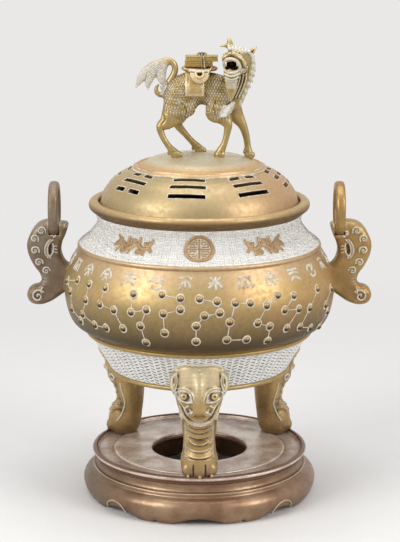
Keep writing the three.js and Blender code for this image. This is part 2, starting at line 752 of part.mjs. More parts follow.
function beastBody(fitted) {
  const curl = limb(
    stations([
      [-33, 0, 60, 4, 4],
      [-39, 0, 59, 3.4, 3],
      [-41.5, 0, 62.5, 3, 2.4],
      [-40.5, 0, 67, 1.6, 1.2],
    ]),
    { sides: 6, reference: [0, 1, 0] },
  );
  const solid = join([torso(), curl, ...beastLegs()]);
  return cutBy(solid, [fitted, ...Object.values(HOOVES).map(hoofRivetHole)]);
}

// Neck and head, turned back to look out over the near side with its mouth open.
function beastHead() {
  const neck = limb(
    stations([
      [34, -2, 52, 9.5, 9],
      [38, -2.5, 62, 9.5, 9.5],
      [42.5, -3, 74, 9, 9.4],
      [46, -3, 85, 8.6, 9.4],
      [44.5, -3, 95, 7.5, 8.5],
    ]),
    { sides: 10 },
  );
  const skull = limb(
    stations([
      [46, 7, 93.5, 7, 6],
      [43, 1, 93.5, 12.5, 10],
      [39, -8, 93, 16.2, 12],
      [35, -17, 91, 14.8, 13.8],
      [33, -24, 90, 12.4, 14.5],
      [32, -28, 89.5, 8, 10.5],
    ]),
    { sides: 12, reference: [0, 0, 1] },
  );
  const mouth = limb(
    stations([
      [34, -12, 91, 4, 3],
      [32.6, -19, 91, 6.6, 5.6],
      [31.5, -33, 91, 8.6, 8],
    ]),
    { sides: 8, reference: [0, 0, 1] },
  );
  const horn = stations([
    [30.5, -4, 101, 3.4, 3.4],
    [29.6, -3, 108, 2.8, 3],
    [28.4, -2, 114.6, 0.7, 0.8],
  ]);
  const prong = stations([
    [28.5, -3, 106, 2, 2],
    [21.8, -3, 107.6, 0.7, 0.7],
  ]);
  const ear = stations([
    [48, -2, 96, 3.6, 4.6],
    [53, -1, 100.5, 2.6, 3],
    [56.4, 0, 105.4, 0.7, 0.8],
  ]);
  const beard = stations([
    [32, -22, 81, 5.6, 6.6],
    [32.4, -20.5, 70, 4, 5.4],
    [32.4, -18, 61, 2.8, 3.4],
    [31.6, -16, 53.5, 0.8, 1],
  ]);
  const tufts = [horn, ear, beard].map((rows) => limb(rows, { sides: 6 }));
  tufts.push(limb(prong, { sides: 6, reference: [0, 1, 0] }));
  return cutBy(join([neck, skull, ...tufts]), [mouth, torso(SEAT_GAP), ...beastLegs(SEAT_GAP)]);
}

// Tail: a stem that curls up from the rump and back over itself, and the plume of three locks on its end.
function beastTail() {
  const strands = [
    [
      [-29, 0, 72, 3.6, 3.6],
      [-25.2, 0, 78.5, 3.3, 3.3],
      [-23.8, 0, 85, 3, 3],
      [-25.8, 0, 90, 3, 3],
      [-31, 0, 91.6, 3.4, 3.4],
    ],
    [
      [-29.5, 0, 91.4, 3, 3.6],
      [-36, 0, 89.8, 4.8, 5],
      [-43.5, 0, 86.5, 6.4, 5.4],
      [-51, 0, 80.5, 6.2, 4.6],
      [-57.5, 0, 74.5, 3.8, 3.2],
      [-63, 0, 66.5, 0.8, 1],
    ],
    [
      [-41, 0, 87, 6, 5],
      [-47.5, 0, 75, 4.6, 4],
      [-51, 0, 64, 0.8, 1],
    ],
    [
      [-36, 0, 89, 4.6, 4.6],
      [-38, 0, 79, 4.6, 4],
      [-34.2, 0, 68, 0.8, 1],
    ],
  ];
  const solids = strands.map((rows) => limb(stations(rows), { sides: 8, reference: [0, 1, 0] }));
  return cutBy(join(solids), [torso(SEAT_GAP)]);
}

// Saddle cloth: a band over the back, with a hanging flap on each side.
const CLOTH_THICKNESS = 2.4;
function saddleCloth() {
  const over = torso(CLOTH_THICKNESS);
  const strip = solidOf(new THREE.BoxGeometry(19.4, 40, 38).translate(-4.5, 0, CROWN_TOP + 77.6));
  return cutBy(over.intersect(strip), [torso(SEAT_GAP), ...beastLegs(SEAT_GAP)]);
}

function saddle() {
  const seat = limb(
    stations([
      [-12, 0, 83.2, 7.5, 3],
      [-4, 0, 83.6, 9.6, 2.9],
      [6, 0, 83.6, 9.6, 2.9],
      [13, 0, 83.2, 7.5, 3],
    ]),
    { sides: 10, reference: [0, 0, 1] },
  );
  return cutBy(seat, [torso(CLOTH_THICKNESS + SEAT_GAP)]);
}

const BOOK_WIDTH = 14;
const BOOKS = {
  lower: { x: -0.5, length: 28, low: CROWN_TOP + 87, high: CROWN_TOP + 91.6 },
  upper: { x: 2.3, length: 32.4, low: CROWN_TOP + 91.9, high: CROWN_TOP + 97.4 },
};
const TIE = { x: 2.6, width: 4, thickness: 1.6 };

const book = ({ x, length, low, high }) =>
  solidOf(new THREE.BoxGeometry(length, BOOK_WIDTH, high - low).translate(x, 0, (low + high) / 2));

// The strap tied round both books.
function bookTie() {
  const low = BOOKS.lower.low + 0.4;
  const high = BOOKS.upper.high;
  const gap = SEAT_GAP + TIE.thickness;
  const outer = new THREE.BoxGeometry(TIE.width, BOOK_WIDTH + 2 * gap, high + gap - low).translate(
    TIE.x, 0, (low + high + gap) / 2,
  );
  const inner = new THREE.BoxGeometry(TIE.width + 2, BOOK_WIDTH + 2 * SEAT_GAP, high + 2 * SEAT_GAP - low)
    .translate(TIE.x, 0, (low + high) / 2);
  return solidOf(outer).subtract(solidOf(inner));
}

// Plate of the stand: a ring with a bevelled hole, a raised middle disc and a rounded rim.
function standPlate() {
  const rimIn = PLATE_RADIUS - RIM_WIDTH;
  const rimTop = PLATE_TOP + RIM_HEIGHT;
  const under = PLATE_TOP - PLATE_THICKNESS;
  return solidOf(
    revolve([
      [PLATE_HOLE_RADIUS, under],
      [PLATE_HOLE_RADIUS, PLATE_TOP - PLATE_HOLE_BEVEL],
      [PLATE_HOLE_RADIUS + PLATE_HOLE_BEVEL, PLATE_TOP],
      [PLATE_STEP_RADIUS, PLATE_TOP],
      [PLATE_STEP_RADIUS + 0.8, PLATE_TOP - PLATE_STEP],
      [rimIn - 0.6, PLATE_TOP - PLATE_STEP],
      [rimIn, rimTop - 1],
      [rimIn + RIM_WIDTH / 2, rimTop],
      [PLATE_RADIUS - 0.6, rimTop - 1.2],
      [PLATE_RADIUS, rimTop - 3],
      [PLATE_RADIUS - 0.8, rimTop - 5.4],
      [WAIST_RADIUS + 1.5, under + 1.4],
      [WAIST_RADIUS + 1.5, under],
    ]),
  );
}

// Height of the apron's lower edge: feet of two small lobes each, with an arch between.
function apronEdge(angle) {
  const turn = ((angle - rad(APRON_TURN - 90)) / (2 * Math.PI)) * APRON_FEET;
  const t = Math.abs(turn - Math.round(turn)) * 2; // 0 in the middle of a foot, 1 in the middle of an arch
  if (t < 0.1) return APRON_NOTCH;
  if (t < 0.4) return 0;
  if (t < 0.55) return APRON_ARCH_RISE * 0.45;
  return APRON_ARCH_RISE * (0.5 + 0.5 * Math.sin(((t - 0.55) / 0.45) * (Math.PI / 2)));
}

// Waist and apron of the stand in one ring.
function standApron() {
  const under = PLATE_TOP - PLATE_THICKNESS - SEAT_GAP;
  return ringOfSections((angle) => {
    const edge = apronEdge(angle);
    return [
      [WAIST_RADIUS - WAIST_WALL, under],
      [WAIST_RADIUS, under],
      [WAIST_RADIUS, APRON_TOP + 2],
      [WAIST_RADIUS + 3, APRON_TOP],
      [APRON_SHOULDER_RADIUS, APRON_TOP - 3],
      [APRON_RADIUS - 1, APRON_BULGE_HEIGHT + 5],
      [APRON_RADIUS, APRON_BULGE_HEIGHT],
      [APRON_RADIUS - 1.6, APRON_BULGE_HEIGHT * 0.5 + edge * 0.5],
      [APRON_FOOT_RADIUS, edge],
      [APRON_FOOT_RADIUS - APRON_WALL, edge],
      [APRON_RADIUS - APRON_WALL - 2, APRON_BULGE_HEIGHT],
      [APRON_SHOULDER_RADIUS - APRON_WALL + 2, APRON_TOP - 5],
      [WAIST_RADIUS - WAIST_WALL, APRON_TOP - 1],
    ];
  }, APRON_STEPS);
}

const brass = new THREE.MeshStandardMaterial({ color: 0xa88a52, roughness: 0.38, metalness: 1 });
const paleBrass = new THREE.MeshStandardMaterial({ color: 0xb89f68, roughness: 0.45, metalness: 1 });
const brownBronze = new THREE.MeshStandardMaterial({ color: 0x6e5444, roughness: 0.45, metalness: 1 });

const burner = new THREE.Group();
function add(name, solid, material = brass) {
  const mesh = new THREE.Mesh(geometryOf(solid), material);
  mesh.name = name;
  burner.add(mesh);
}

add("stand_plate", standPlate(), brownBronze);
add("stand_apron", standApron(), brownBronze);

const fittedBowl = bowlFilled();
add("bowl", bowl());
for (const [place, angle] of Object.entries(LEG_ANGLES)) {
  add(`leg_${place}`, leg(angle, fittedBowl));
  legRivets(angle).forEach((rivet, i) => add(`leg_${place}_rivet_${i + 1}`, rivetSolid(rivet)));
}
for (const [side, place] of Object.entries(HANDLES)) {
  add(`handle_${side}`, handle(place, fittedBowl));
  add(`handle_ring_${side}`, handleRing(place));
  handleRivets(place).forEach((rivet, i) => add(`handle_${side}_rivet_${i + 1}`, rivetSolid(rivet)));
}

const fittedCrown = crownFilled();
add("lid", lid());
add("beast_body", beastBody(fittedCrown), paleBrass);
add("beast_head", beastHead(), paleBrass);
add("beast_tail", beastTail(), paleBrass);
add("saddle_cloth", saddleCloth(), paleBrass);
add("saddle", saddle(), paleBrass);
add("book_lower", book(BOOKS.lower), paleBrass);
add("book_upper", book(BOOKS.upper), paleBrass);
add("book_tie", bookTie(), paleBrass);
for (const [place, hoof] of Object.entries(HOOVES)) add(`hoof_rivet_${place}`, hoofRivet(hoof));

export default burner;
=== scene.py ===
import json
import math

import bpy
import numpy as np
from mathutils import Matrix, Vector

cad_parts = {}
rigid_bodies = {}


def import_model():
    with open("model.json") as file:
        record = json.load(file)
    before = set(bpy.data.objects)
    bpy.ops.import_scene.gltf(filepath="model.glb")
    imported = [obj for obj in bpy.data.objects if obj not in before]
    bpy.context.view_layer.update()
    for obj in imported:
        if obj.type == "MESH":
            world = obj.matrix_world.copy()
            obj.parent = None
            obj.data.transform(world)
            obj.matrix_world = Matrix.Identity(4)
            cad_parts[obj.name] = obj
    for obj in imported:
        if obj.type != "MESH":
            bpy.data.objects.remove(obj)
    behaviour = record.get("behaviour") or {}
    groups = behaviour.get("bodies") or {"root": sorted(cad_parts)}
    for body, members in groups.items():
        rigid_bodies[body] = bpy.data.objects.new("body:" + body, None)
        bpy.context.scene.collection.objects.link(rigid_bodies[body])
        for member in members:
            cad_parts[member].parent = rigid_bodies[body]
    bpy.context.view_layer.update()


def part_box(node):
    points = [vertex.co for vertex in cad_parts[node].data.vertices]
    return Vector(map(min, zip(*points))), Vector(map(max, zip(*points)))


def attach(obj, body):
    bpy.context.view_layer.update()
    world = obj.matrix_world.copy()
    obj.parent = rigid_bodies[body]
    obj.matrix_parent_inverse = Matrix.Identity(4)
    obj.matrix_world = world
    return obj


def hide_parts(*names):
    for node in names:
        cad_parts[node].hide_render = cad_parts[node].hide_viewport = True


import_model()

import openvdb
from mathutils.bvhtree import BVHTree
from mathutils import Vector

MM = 0.001
TURN = 2 * math.pi
TINY = 1e-9


def extent(node):
    """Lowest and highest corner of a CAD node, in millimetres."""
    low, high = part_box(node)
    return np.array(low) / MM, np.array(high) / MM


# Sizes that the frame gives
BOWL_LOW, BOWL_HIGH = extent("bowl")
BELLY_RADIUS = BOWL_HIGH[1]
BASE_HEIGHT = BOWL_LOW[2]
MOUTH_TOP = BOWL_HIGH[2]
CROWN_TOP = extent("lid")[1][2]
PLATE_RADIUS, PLATE_RIM_TOP = extent("stand_plate")[1][1:]
APRON_RADIUS = extent("stand_apron")[1][1]

# The bowl's turned face: ridges and neck as (radius, height)
BASE_RIDGE = (91.6, BASE_HEIGHT + 3.4)
LOWER_RIDGE = (114.8, 171.2)
NECK_RIDGE = (122.4, 258.7)
NECK = (101.5, 283)
MOUTH_RADIUS = 110.6
BOWL_WALL = 4
PLATE_TOP = PLATE_RIM_TOP - 2.8
LEG_ANGLES = {"front": -90, "right": 33, "left": 147}


# Curves and profiles
def smooth(knots, count):
    """Points of a centripetal Catmull-Rom curve through the knots, in any number of dimensions."""
    knots = np.asarray(knots, float)
    ends = [2 * knots[0] - knots[1], *knots, 2 * knots[-1] - knots[-2]]
    gaps = [math.dist(a[:3], b[:3]) ** 0.5 for a, b in zip(ends, ends[1:])]
    times = np.concatenate([[0], np.cumsum(gaps)])
    points = []
    for t in np.linspace(times[1], times[-2], count):
        i = min(max(np.searchsorted(times, t, side="right") - 1, 1), len(times) - 3)
        p0, p1, p2, p3 = ends[i - 1:i + 3]
        t0, t1, t2, t3 = times[i - 1:i + 3]
        a1 = (t1 - t) / (t1 - t0) * p0 + (t - t0) / (t1 - t0) * p1
        a2 = (t2 - t) / (t2 - t1) * p1 + (t - t1) / (t2 - t1) * p2
        a3 = (t3 - t) / (t3 - t2) * p2 + (t - t2) / (t3 - t2) * p3
        b1 = (t2 - t) / (t2 - t0) * a1 + (t - t0) / (t2 - t0) * a2
        b2 = (t3 - t) / (t3 - t1) * a2 + (t - t1) / (t3 - t1) * a3
        points.append((t2 - t) / (t2 - t1) * b1 + (t - t1) / (t2 - t1) * b2)
    return np.array(points)


def arc(centre, radius, start, end, count=9):
    """Points of an arc from start to end, in degrees."""
    angles = np.radians(np.linspace(start, end, count))
    return np.stack([centre[0] + radius * np.cos(angles), centre[1] + radius * np.sin(angles)], axis=1)


def rounded_box(half_wide, half_tall, corner):
    """Outline of a rectangle with round corners."""
    a, b = half_wide - corner, half_tall - corner
    middles = ((a, b, 0), (-a, b, 90), (-a, -b, 180), (a, -b, 270))
    return chain(*[arc((x, y), corner, start, start + 90, 4) for x, y, start in middles])


def bead(radius, height, half):
    """A half-round bead on a wall, from its underside to its upper side."""
    return arc((radius - half, height), half, -80, 80)


def chain(*parts):
    """One list of [radius, height] points from curves and single points."""
    return np.concatenate([np.atleast_2d(np.asarray(part, float)) for part in parts])


def resample(profile, step):
    """The same line with a point at least every step."""
    points = [profile[0]]
    for a, b in zip(profile, profile[1:]):
        pieces = max(1, math.ceil(math.dist(a, b) / step))
        points += [a + (b - a) * (k + 1) / pieces for k in range(pieces)]
    return np.array(points)


# Meshes
def linked(name, data):
    """A new object in the scene."""
    thing = bpy.data.objects.new(name, data)
    bpy.context.scene.collection.objects.link(thing)
    return thing


def enclosed(points, faces):
    """Volume inside arrays of faces, below zero where they are inside out."""
    total = 0
    for group in faces:
        first = points[group[:, 0]]
        for k in range(1, group.shape[1] - 1):
            second, third = points[group[:, k]], points[group[:, k + 1]]
            total += np.einsum("ij,ij->i", first, np.cross(second, third)).sum() / 6
    return total


def piece(name, points, faces, material, body, slot, replaced=(), **layers):
    """A shown piece from points in millimetres and arrays of faces, riding on a body."""
    points = np.asarray(points, float)
    faces = [np.asarray(f, np.int32) for f in faces if len(f)]
    if enclosed(points, faces) < 0:
        faces = [group[:, ::-1] for group in faces]
    mesh = bpy.data.meshes.new(name)
    corners = np.concatenate([f.ravel() for f in faces])
    counts = np.concatenate([np.full(len(f), f.shape[1], np.int32) for f in faces])
    mesh.vertices.add(len(points))
    mesh.vertices.foreach_set("co", (np.asarray(points, np.float32) * MM).ravel())
    mesh.loops.add(len(corners))
    mesh.loops.foreach_set("vertex_index", corners)
    mesh.polygons.add(len(counts))
    mesh.polygons.foreach_set("loop_start", np.concatenate([[0], np.cumsum(counts)[:-1]]).astype(np.int32))
    mesh.update(calc_edges=True)
    for layer, values in layers.items():
        data = mesh.attributes.new(layer, "FLOAT", "POINT").data
        data.foreach_set("value", np.asarray(values, np.float32))
    mesh.validate()
    mesh.shade_smooth()
    mesh.materials.append(material)
    thing = linked(name, mesh)
    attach(thing, body)
    if replaced:
        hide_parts(*replaced)
    return thing


def grid_faces(rows, columns, wrap_rows=False):
    """Quads between rows of equally many points, each row a closed ring."""
    i = np.arange(rows if wrap_rows else rows - 1)[:, None]
    k = np.arange(columns)[None, :]
    n, m = (i + 1) % rows, (k + 1) % columns
    corners = [i * columns + k, i * columns + m, n * columns + m, n * columns + k]
    return np.stack(corners, axis=-1).reshape(-1, 4)


def polar(azimuth, radius, height):
    """A point at an azimuth in radians, counted from the front towards +X."""
    return np.stack([radius * np.sin(azimuth), -radius * np.cos(azimuth), height + 0 * azimuth], axis=-1)


def pole_faces(steps, last, poles):
    """Triangles from the first ring of a tube to one pole point, and from its last ring to the next point."""
    k = np.arange(steps)
    after = (k + 1) % steps
    return [
        np.stack([np.full(steps, poles), after, k], axis=1),
        np.stack([np.full(steps, poles + 1), last + k, last + after], axis=1),
    ]


def turned(profile, steps):
    """Points and faces of a closed profile turned about +Z. A profile that starts on the axis ends there."""
    capped = profile[0][0] < TINY
    ring = profile[1:-1] if capped else profile
    azimuth = np.arange(steps) * TURN / steps
    points = np.concatenate([polar(azimuth, r, z) for r, z in ring])
    faces = [grid_faces(len(ring), steps, wrap_rows=not capped)]
    if capped:
        faces += pole_faces(steps, (len(ring) - 1) * steps, len(points))
        points = np.concatenate([points, [[0, 0, profile[0][1]], [0, 0, profile[-1][1]]]])
    return points, faces


class Heap:
    """Many small solids gathered in one mesh."""

    def __init__(self):
        self.points, self.faces, self.count = [], [], 0

    def add(self, points, faces):
        """Adds a solid from its points and arrays of faces."""
        self.points.append(np.asarray(points, float).reshape(-1, 3))
        self.faces += [np.asarray(f) + self.count for f in faces]
        self.count += len(self.points[-1])

    def piece(self, name, material, body, slot, **more):
        """All solids so far as one shown piece."""
        quads = [f for f in self.faces if f.shape[1] == 4]
        threes = [f for f in self.faces if f.shape[1] == 3]
        faces = [np.concatenate(group) for group in (quads, threes) if group]
        return piece(name, np.concatenate(self.points), faces, material, body, slot, **more)


# Relief that follows a surface, which is a function of across, along and out, in millimetres. Its back lies
# this deep in the wall.
SUNK = 0.5


def button(heap, surface, profile, steps, squash=1.0):
    """A round relief: profile of [radius, out], from axis to axis or as a closed ring."""
    capped = profile[0][0] < TINY and profile[-1][0] < TINY
    ring = np.array(profile[1:-1] if capped else profile, float)
    angle = np.arange(steps)[None, :] * TURN / steps
    a, b = ring[:, :1] * np.cos(angle), ring[:, :1] * np.sin(angle) * squash
    points = surface(a.ravel(), b.ravel(), np.repeat(ring[:, 1], steps))
    faces = [grid_faces(len(ring), steps, wrap_rows=not capped)]
    if capped:
        faces += pole_faces(steps, (len(ring) - 1) * steps, len(points))
        ends = surface(np.zeros(2), np.zeros(2), np.array([profile[0][1], profile[-1][1]]))
        points = np.concatenate([points, ends])
    heap.add(points, faces)


def ribbon(heap, surface, path, width, top, round_top=0.0):
    """A strip along a path of [across, along] points. width is a number, or one for each point."""
    path = np.asarray(path, float)
    ahead = np.gradient(path, axis=0)
    ahead /= np.linalg.norm(ahead, axis=1, keepdims=True) + TINY
    side = np.stack([-ahead[:, 1], ahead[:, 0]], axis=1)
    half = np.broadcast_to(np.asarray(width, float) / 2, len(path))[:, None]
    crest = top + round_top
    section = [(-1, -SUNK), (-1, top), (-0.45, crest), (0.45, crest), (1, top), (1, -SUNK)]
    points = []
    for share, out in section:
        flat = path + side * half * share
        points.append(surface(flat[:, 0], flat[:, 1], np.full(len(path), float(out))))
    points = np.stack(points, axis=1).reshape(-1, 3)
    n = len(section)
    last = (len(path) - 1) * n
    near_end = np.array([[0, 5, 4, 1], [1, 4, 3, 2]])
    caps = np.concatenate([near_end, last + near_end[:, ::-1]])
    heap.add(points, [grid_faces(len(path), n), caps])


def spiral(radius, turns, start, flip, count=26, inner=0.12):
    """A curl that winds in from a radius, round the origin."""
    share = np.linspace(0, 1, count)
    angle = math.radians(start) + flip * TURN * turns * share
    r = radius * (1 - share * (1 - inner))
    return np.stack([r * np.cos(angle), r * np.sin(angle)], axis=1)


# Sculpted pieces
# A reference direction for round strands, which no path follows
ANY_WAY = (0.3, 0.5, 0.8)


def blended(a, b, blend):
    """The lesser of two distances, rounded where they meet."""
    if blend <= 0:
        return np.minimum(a, b)
    near = np.maximum(blend - np.abs(a - b), 0) / blend
    return np.minimum(a, b) - near * near * blend / 4


def directions(points, reference):
    """Tangent, across and deep directions along a line of points."""
    tangent = np.gradient(points, axis=0)
    tangent /= np.linalg.norm(tangent, axis=1, keepdims=True) + TINY
    across = np.cross(tangent, reference)
    across /= np.linalg.norm(across, axis=1, keepdims=True) + TINY
    return tangent, across, np.cross(across, tangent)


def link_distance(a, b, grid, axes):
    """Distance to a rounded link between two rows of a strand, over a grid."""
    tangent, across, deep = axes
    xs, ys, zs = (values - place for values, place in zip(grid, a))
    d = b[:3] - a[:3]
    t = np.clip((xs * d[0] + ys * d[1] + zs * d[2]) / max(float(d @ d), TINY), 0, 1)
    px, py, pz = xs - t * d[0], ys - t * d[1], zs - t * d[2]
    wide, thick = a[3] + t * (b[3] - a[3]), a[4] + t * (b[4] - a[4])
    u = (px * across[0] + py * across[1] + pz * across[2]) / wide
    v = (px * deep[0] + py * deep[1] + pz * deep[2]) / thick
    w = (px * tangent[0] + py * tangent[1] + pz * tangent[2]) * 2 / (wide + thick)
    return (np.sqrt(u * u + v * v + w * w) - 1) * np.minimum(wide, thick)


class Clay:
    """A solid as a grid of distances to its surface, negative inside."""

    # Distance that stands for far away, and how far past a shape its distances are worked out
    FAR = 7.0
    MARGIN = 1.5
    # How many radii pale filling reaches from its path, and over how many of them it fades
    FILL_REACH = 1.3
    FILL_FADE = 0.45

    def __init__(self, low, high, voxel):
        self.low, self.voxel = np.array(low, float), voxel
        shape = np.ceil((np.array(high) - self.low) / voxel).astype(int) + 1
        self.field = np.full(shape, self.FAR, np.float32)
        self.lines = []
        self.chalked = []
        self.darkened = []

    def window(self, low, high):
        """The slices that hold a box, and the coordinates of their points."""
        i = np.maximum(((np.asarray(low) - self.low) / self.voxel).astype(int), 0)
        j = np.minimum(((np.asarray(high) - self.low) / self.voxel).astype(int) + 2, self.field.shape)
        axes = []
        for start, first, end in zip(self.low, i, j):
            axes.append((start + self.voxel * np.arange(first, max(first, end))).astype(np.float32))
        return tuple(slice(a, b) for a, b in zip(i, j)), np.meshgrid(*axes, indexing="ij", sparse=True)

    def merge(self, where, distance, blend, cut):
        """Adds a shape, or cuts it out, from its distances over a window."""
        if cut:
            self.field[where] = -blended(-self.field[where], distance, blend)
        else:
            self.field[where] = blended(self.field[where], distance, blend)

    def strand(self, rows, reference, blend, count=0, cut=False):
        """A rounded body along rows of [x, y, z, wide, deep]: half sizes across and along the reference."""
        rows = np.asarray(rows, float)
        line = smooth(rows, count or 4 * len(rows) - 3) if len(rows) > 2 else rows
        axes = directions(line[:, :3], np.asarray(reference, float))
        reach = line[:, 3:].max()
        low, high = line[:, :3].min(0) - reach, line[:, :3].max(0) + reach
        where, (x, y, z) = self.window(low - blend - self.MARGIN, high + blend + self.MARGIN)
        best = np.full(self.field[where].shape, self.FAR, np.float32)
        origin = np.array([x.flat[0], y.flat[0], z.flat[0]])
        for i, (a, b) in enumerate(zip(line, line[1:])):
            span = max(a[3:].max(), b[3:].max()) + blend + self.MARGIN
            first = np.maximum(((np.minimum(a[:3], b[:3]) - span - origin) / self.voxel).astype(int), 0)
            end = ((np.maximum(a[:3], b[:3]) + span - origin) / self.voxel).astype(int) + 2
            box = tuple(slice(p, max(q, p)) for p, q in zip(first, end))
            grid = x[box[0]], y[:, box[1]], z[:, :, box[2]]
            best[box] = np.minimum(best[box], link_distance(a, b, grid, [axis[i] for axis in axes]))
        self.merge(where, best, blend, cut)

    def ball(self, centre, radii, blend, cut=False):
        """A ball or an egg with three half sizes."""
        centre, radii = np.asarray(centre, float), np.broadcast_to(np.asarray(radii, float), 3)
        low, high = centre - radii, centre + radii
        where, grid = self.window(low - blend - self.MARGIN, high + blend + self.MARGIN)
        k = np.sqrt(sum(((v - c) / r) ** 2 for v, c, r in zip(grid, centre, radii)))
        self.merge(where, (k - 1) * radii.min(), blend, cut)

    def keep(self, inside):
        """Takes off what lies outside a shape, given as inside(x, y, z), which is above 0 outside it."""
        where, grid = self.window(self.low, self.low + np.array(self.field.shape) * self.voxel)
        self.field[where] = np.maximum(self.field[where], inside(*grid))

    def paint(self, path, radius, filled):
        """Pale filling near a path, whose strength is filled."""
        path = np.asarray(path, float)
        self.lines.append((path, np.broadcast_to(np.asarray(radius, float), len(path)), filled))

    def facing(self, axis, sign, path):
        """Points of the surface that faces along an axis, over points of the two other axes."""
        values = np.flip(self.field, axis) if sign > 0 else self.field
        values = np.moveaxis(values, axis, 2)
        first = np.clip((values < 0).argmax(2), 1, None)[..., None]
        here = np.take_along_axis(values, first, 2)[..., 0]
        before = np.take_along_axis(values, first - 1, 2)[..., 0]
        depth = first[..., 0] - 1 + before / np.maximum(before - here, 1000 * TINY)
        if sign > 0:
            depth = self.field.shape[axis] - 1 - depth
        depth = self.low[axis] + depth * self.voxel
        others = [a for a in range(3) if a != axis]
        path = np.asarray(path, float)
        f = (path - self.low[others]) / self.voxel
        i = np.clip(f.astype(int), 0, np.array(depth.shape) - 2)
        s = np.clip(f - i, 0, 1)
        sides = []
        for step in (0, 1):
            near, far = depth[i[:, 0], i[:, 1] + step], depth[i[:, 0] + 1, i[:, 1] + step]
            sides.append(near * (1 - s[:, 0]) + far * s[:, 0])
        points = np.empty((len(path), 3))
        points[:, others] = path
        points[:, axis] = sides[0] * (1 - s[:, 1]) + sides[1] * s[:, 1]
        return points

    def emboss(self, low, high, height_at, filled_at, dark_at=None):
        """Raises the surface in a box by height_at(x, y, z), where there may be pale filling, or dirt and
        painted shade.
        """
        where, grid = self.window(low, high)
        self.field[where] -= height_at(*grid).astype(np.float32)
        self.chalked.append(filled_at)
        if dark_at:
            self.darkened.append(dark_at)

    def line(self, path, radius, blend, raised=False, filled=0.0):
        """A groove or a raised line along a path on the surface. filled is how much pale filling it holds."""
        path = np.asarray(path, float)
        radius = np.broadcast_to(np.asarray(radius, float), len(path))
        rows = np.column_stack([path, radius, radius])
        self.strand(rows, ANY_WAY, blend, count=max(2, len(rows)), cut=not raised)
        if filled:
            self.paint(path, radius, filled)

    def mesh(self):
        """Points, quads, filling and hollowness of the finished surface."""
        grid = openvdb.FloatGrid(self.FAR)
        grid.copyFromArray(np.ascontiguousarray(self.field))
        points, quads = grid.convertToQuads(isovalue=0.0)
        points, quads = points.astype(float), quads.astype(np.int64)
        a, b, c = (points[quads[:, k]] for k in range(3))
        if np.einsum("ij,ij->i", np.cross(a, b), c).sum() < 0:
            quads = quads[:, ::-1]
        hollow = self.hollowness(points)
        points = points * self.voxel + self.low
        for dark_at in self.darkened:
            hollow = np.maximum(hollow, dark_at(*points.T))
        return points, quads, self.filling(points), hollow

    def hollowness(self, indices, radius_mm=1.8):
        """How far the surface is a hollow, above 0, or an edge, below 0, near each point."""
        reach = max(1, round(radius_mm / self.voxel))
        sharp = np.clip(self.field, -3, 3)
        soft = sharp.astype(np.float64)
        for axis in range(3):
            pad = [(reach + 1, reach) if a == axis else (0, 0) for a in range(3)]
            total = np.cumsum(np.pad(soft, pad, mode="edge"), axis=axis)
            n = soft.shape[axis]
            upper = np.take(total, np.arange(n) + 2 * reach + 1, axis=axis)
            soft = (upper - np.take(total, np.arange(n), axis=axis)) / (2 * reach + 1)
        i = np.clip(np.rint(indices).astype(int), 0, np.array(soft.shape) - 1)
        return -(soft - sharp)[i[:, 0], i[:, 1], i[:, 2]] / radius_mm

    def filling(self, points):
        """How much pale filling lies at each point."""
        fill = np.zeros(len(points))
        for path, radius, filled in self.lines:
            reach = radius.max() * self.FILL_REACH
            within = (points > path.min(0) - reach) & (points < path.max(0) + reach)
            near = np.flatnonzero(np.all(within, axis=1))
            if not len(near):
                continue
            close = np.full(len(near), np.inf)
            for a, b, r in zip(path, path[1:], radius):
                d, q = b - a, points[near] - a
                t = np.clip(q @ d / max(float(d @ d), TINY), 0, 1)
                close = np.minimum(close, np.linalg.norm(q - t[:, None] * d, axis=1) / r)
            share = np.clip((self.FILL_REACH - close) / self.FILL_FADE, 0, 1)
            fill[near] = np.maximum(fill[near], filled * share)
        for filled_at in self.chalked:
            fill = np.maximum(fill, filled_at(*points.T))
        return fill


def sculpture(name, shaped, material, body, slot, replaced=(), turn=0.0, shift=(0, 0, 0), mirror=False):
    """A piece from the mesh of shaped clay: moved, mirrored in the YZ plane, turned about +Z in degrees."""
    points, quads, fill, hollow = shaped
    points = points + shift
    if mirror:
        points = points * [-1, 1, 1]
        quads = quads[:, ::-1]
    c, s = math.cos(math.radians(turn)), math.sin(math.radians(turn))
    points = points @ np.array([[c, s, 0], [-s, c, 0], [0, 0, 1]])
    return piece(name, points, [quads], material, body, slot, replaced, fill=fill, hollow=hollow)


# Materials
def linear(value):
    """A screen value from 0 to 255 as an amount of light from 0 to 1."""
    share = value / 255
    if share <= 0.04045:
        return share / 12.92
    return ((share + 0.055) / 1.055) ** 2.4


def tone(red, green, blue):
    """A colour as seen on a screen, each channel from 0 to 255."""
    return linear(red), linear(green), linear(blue), 1.0


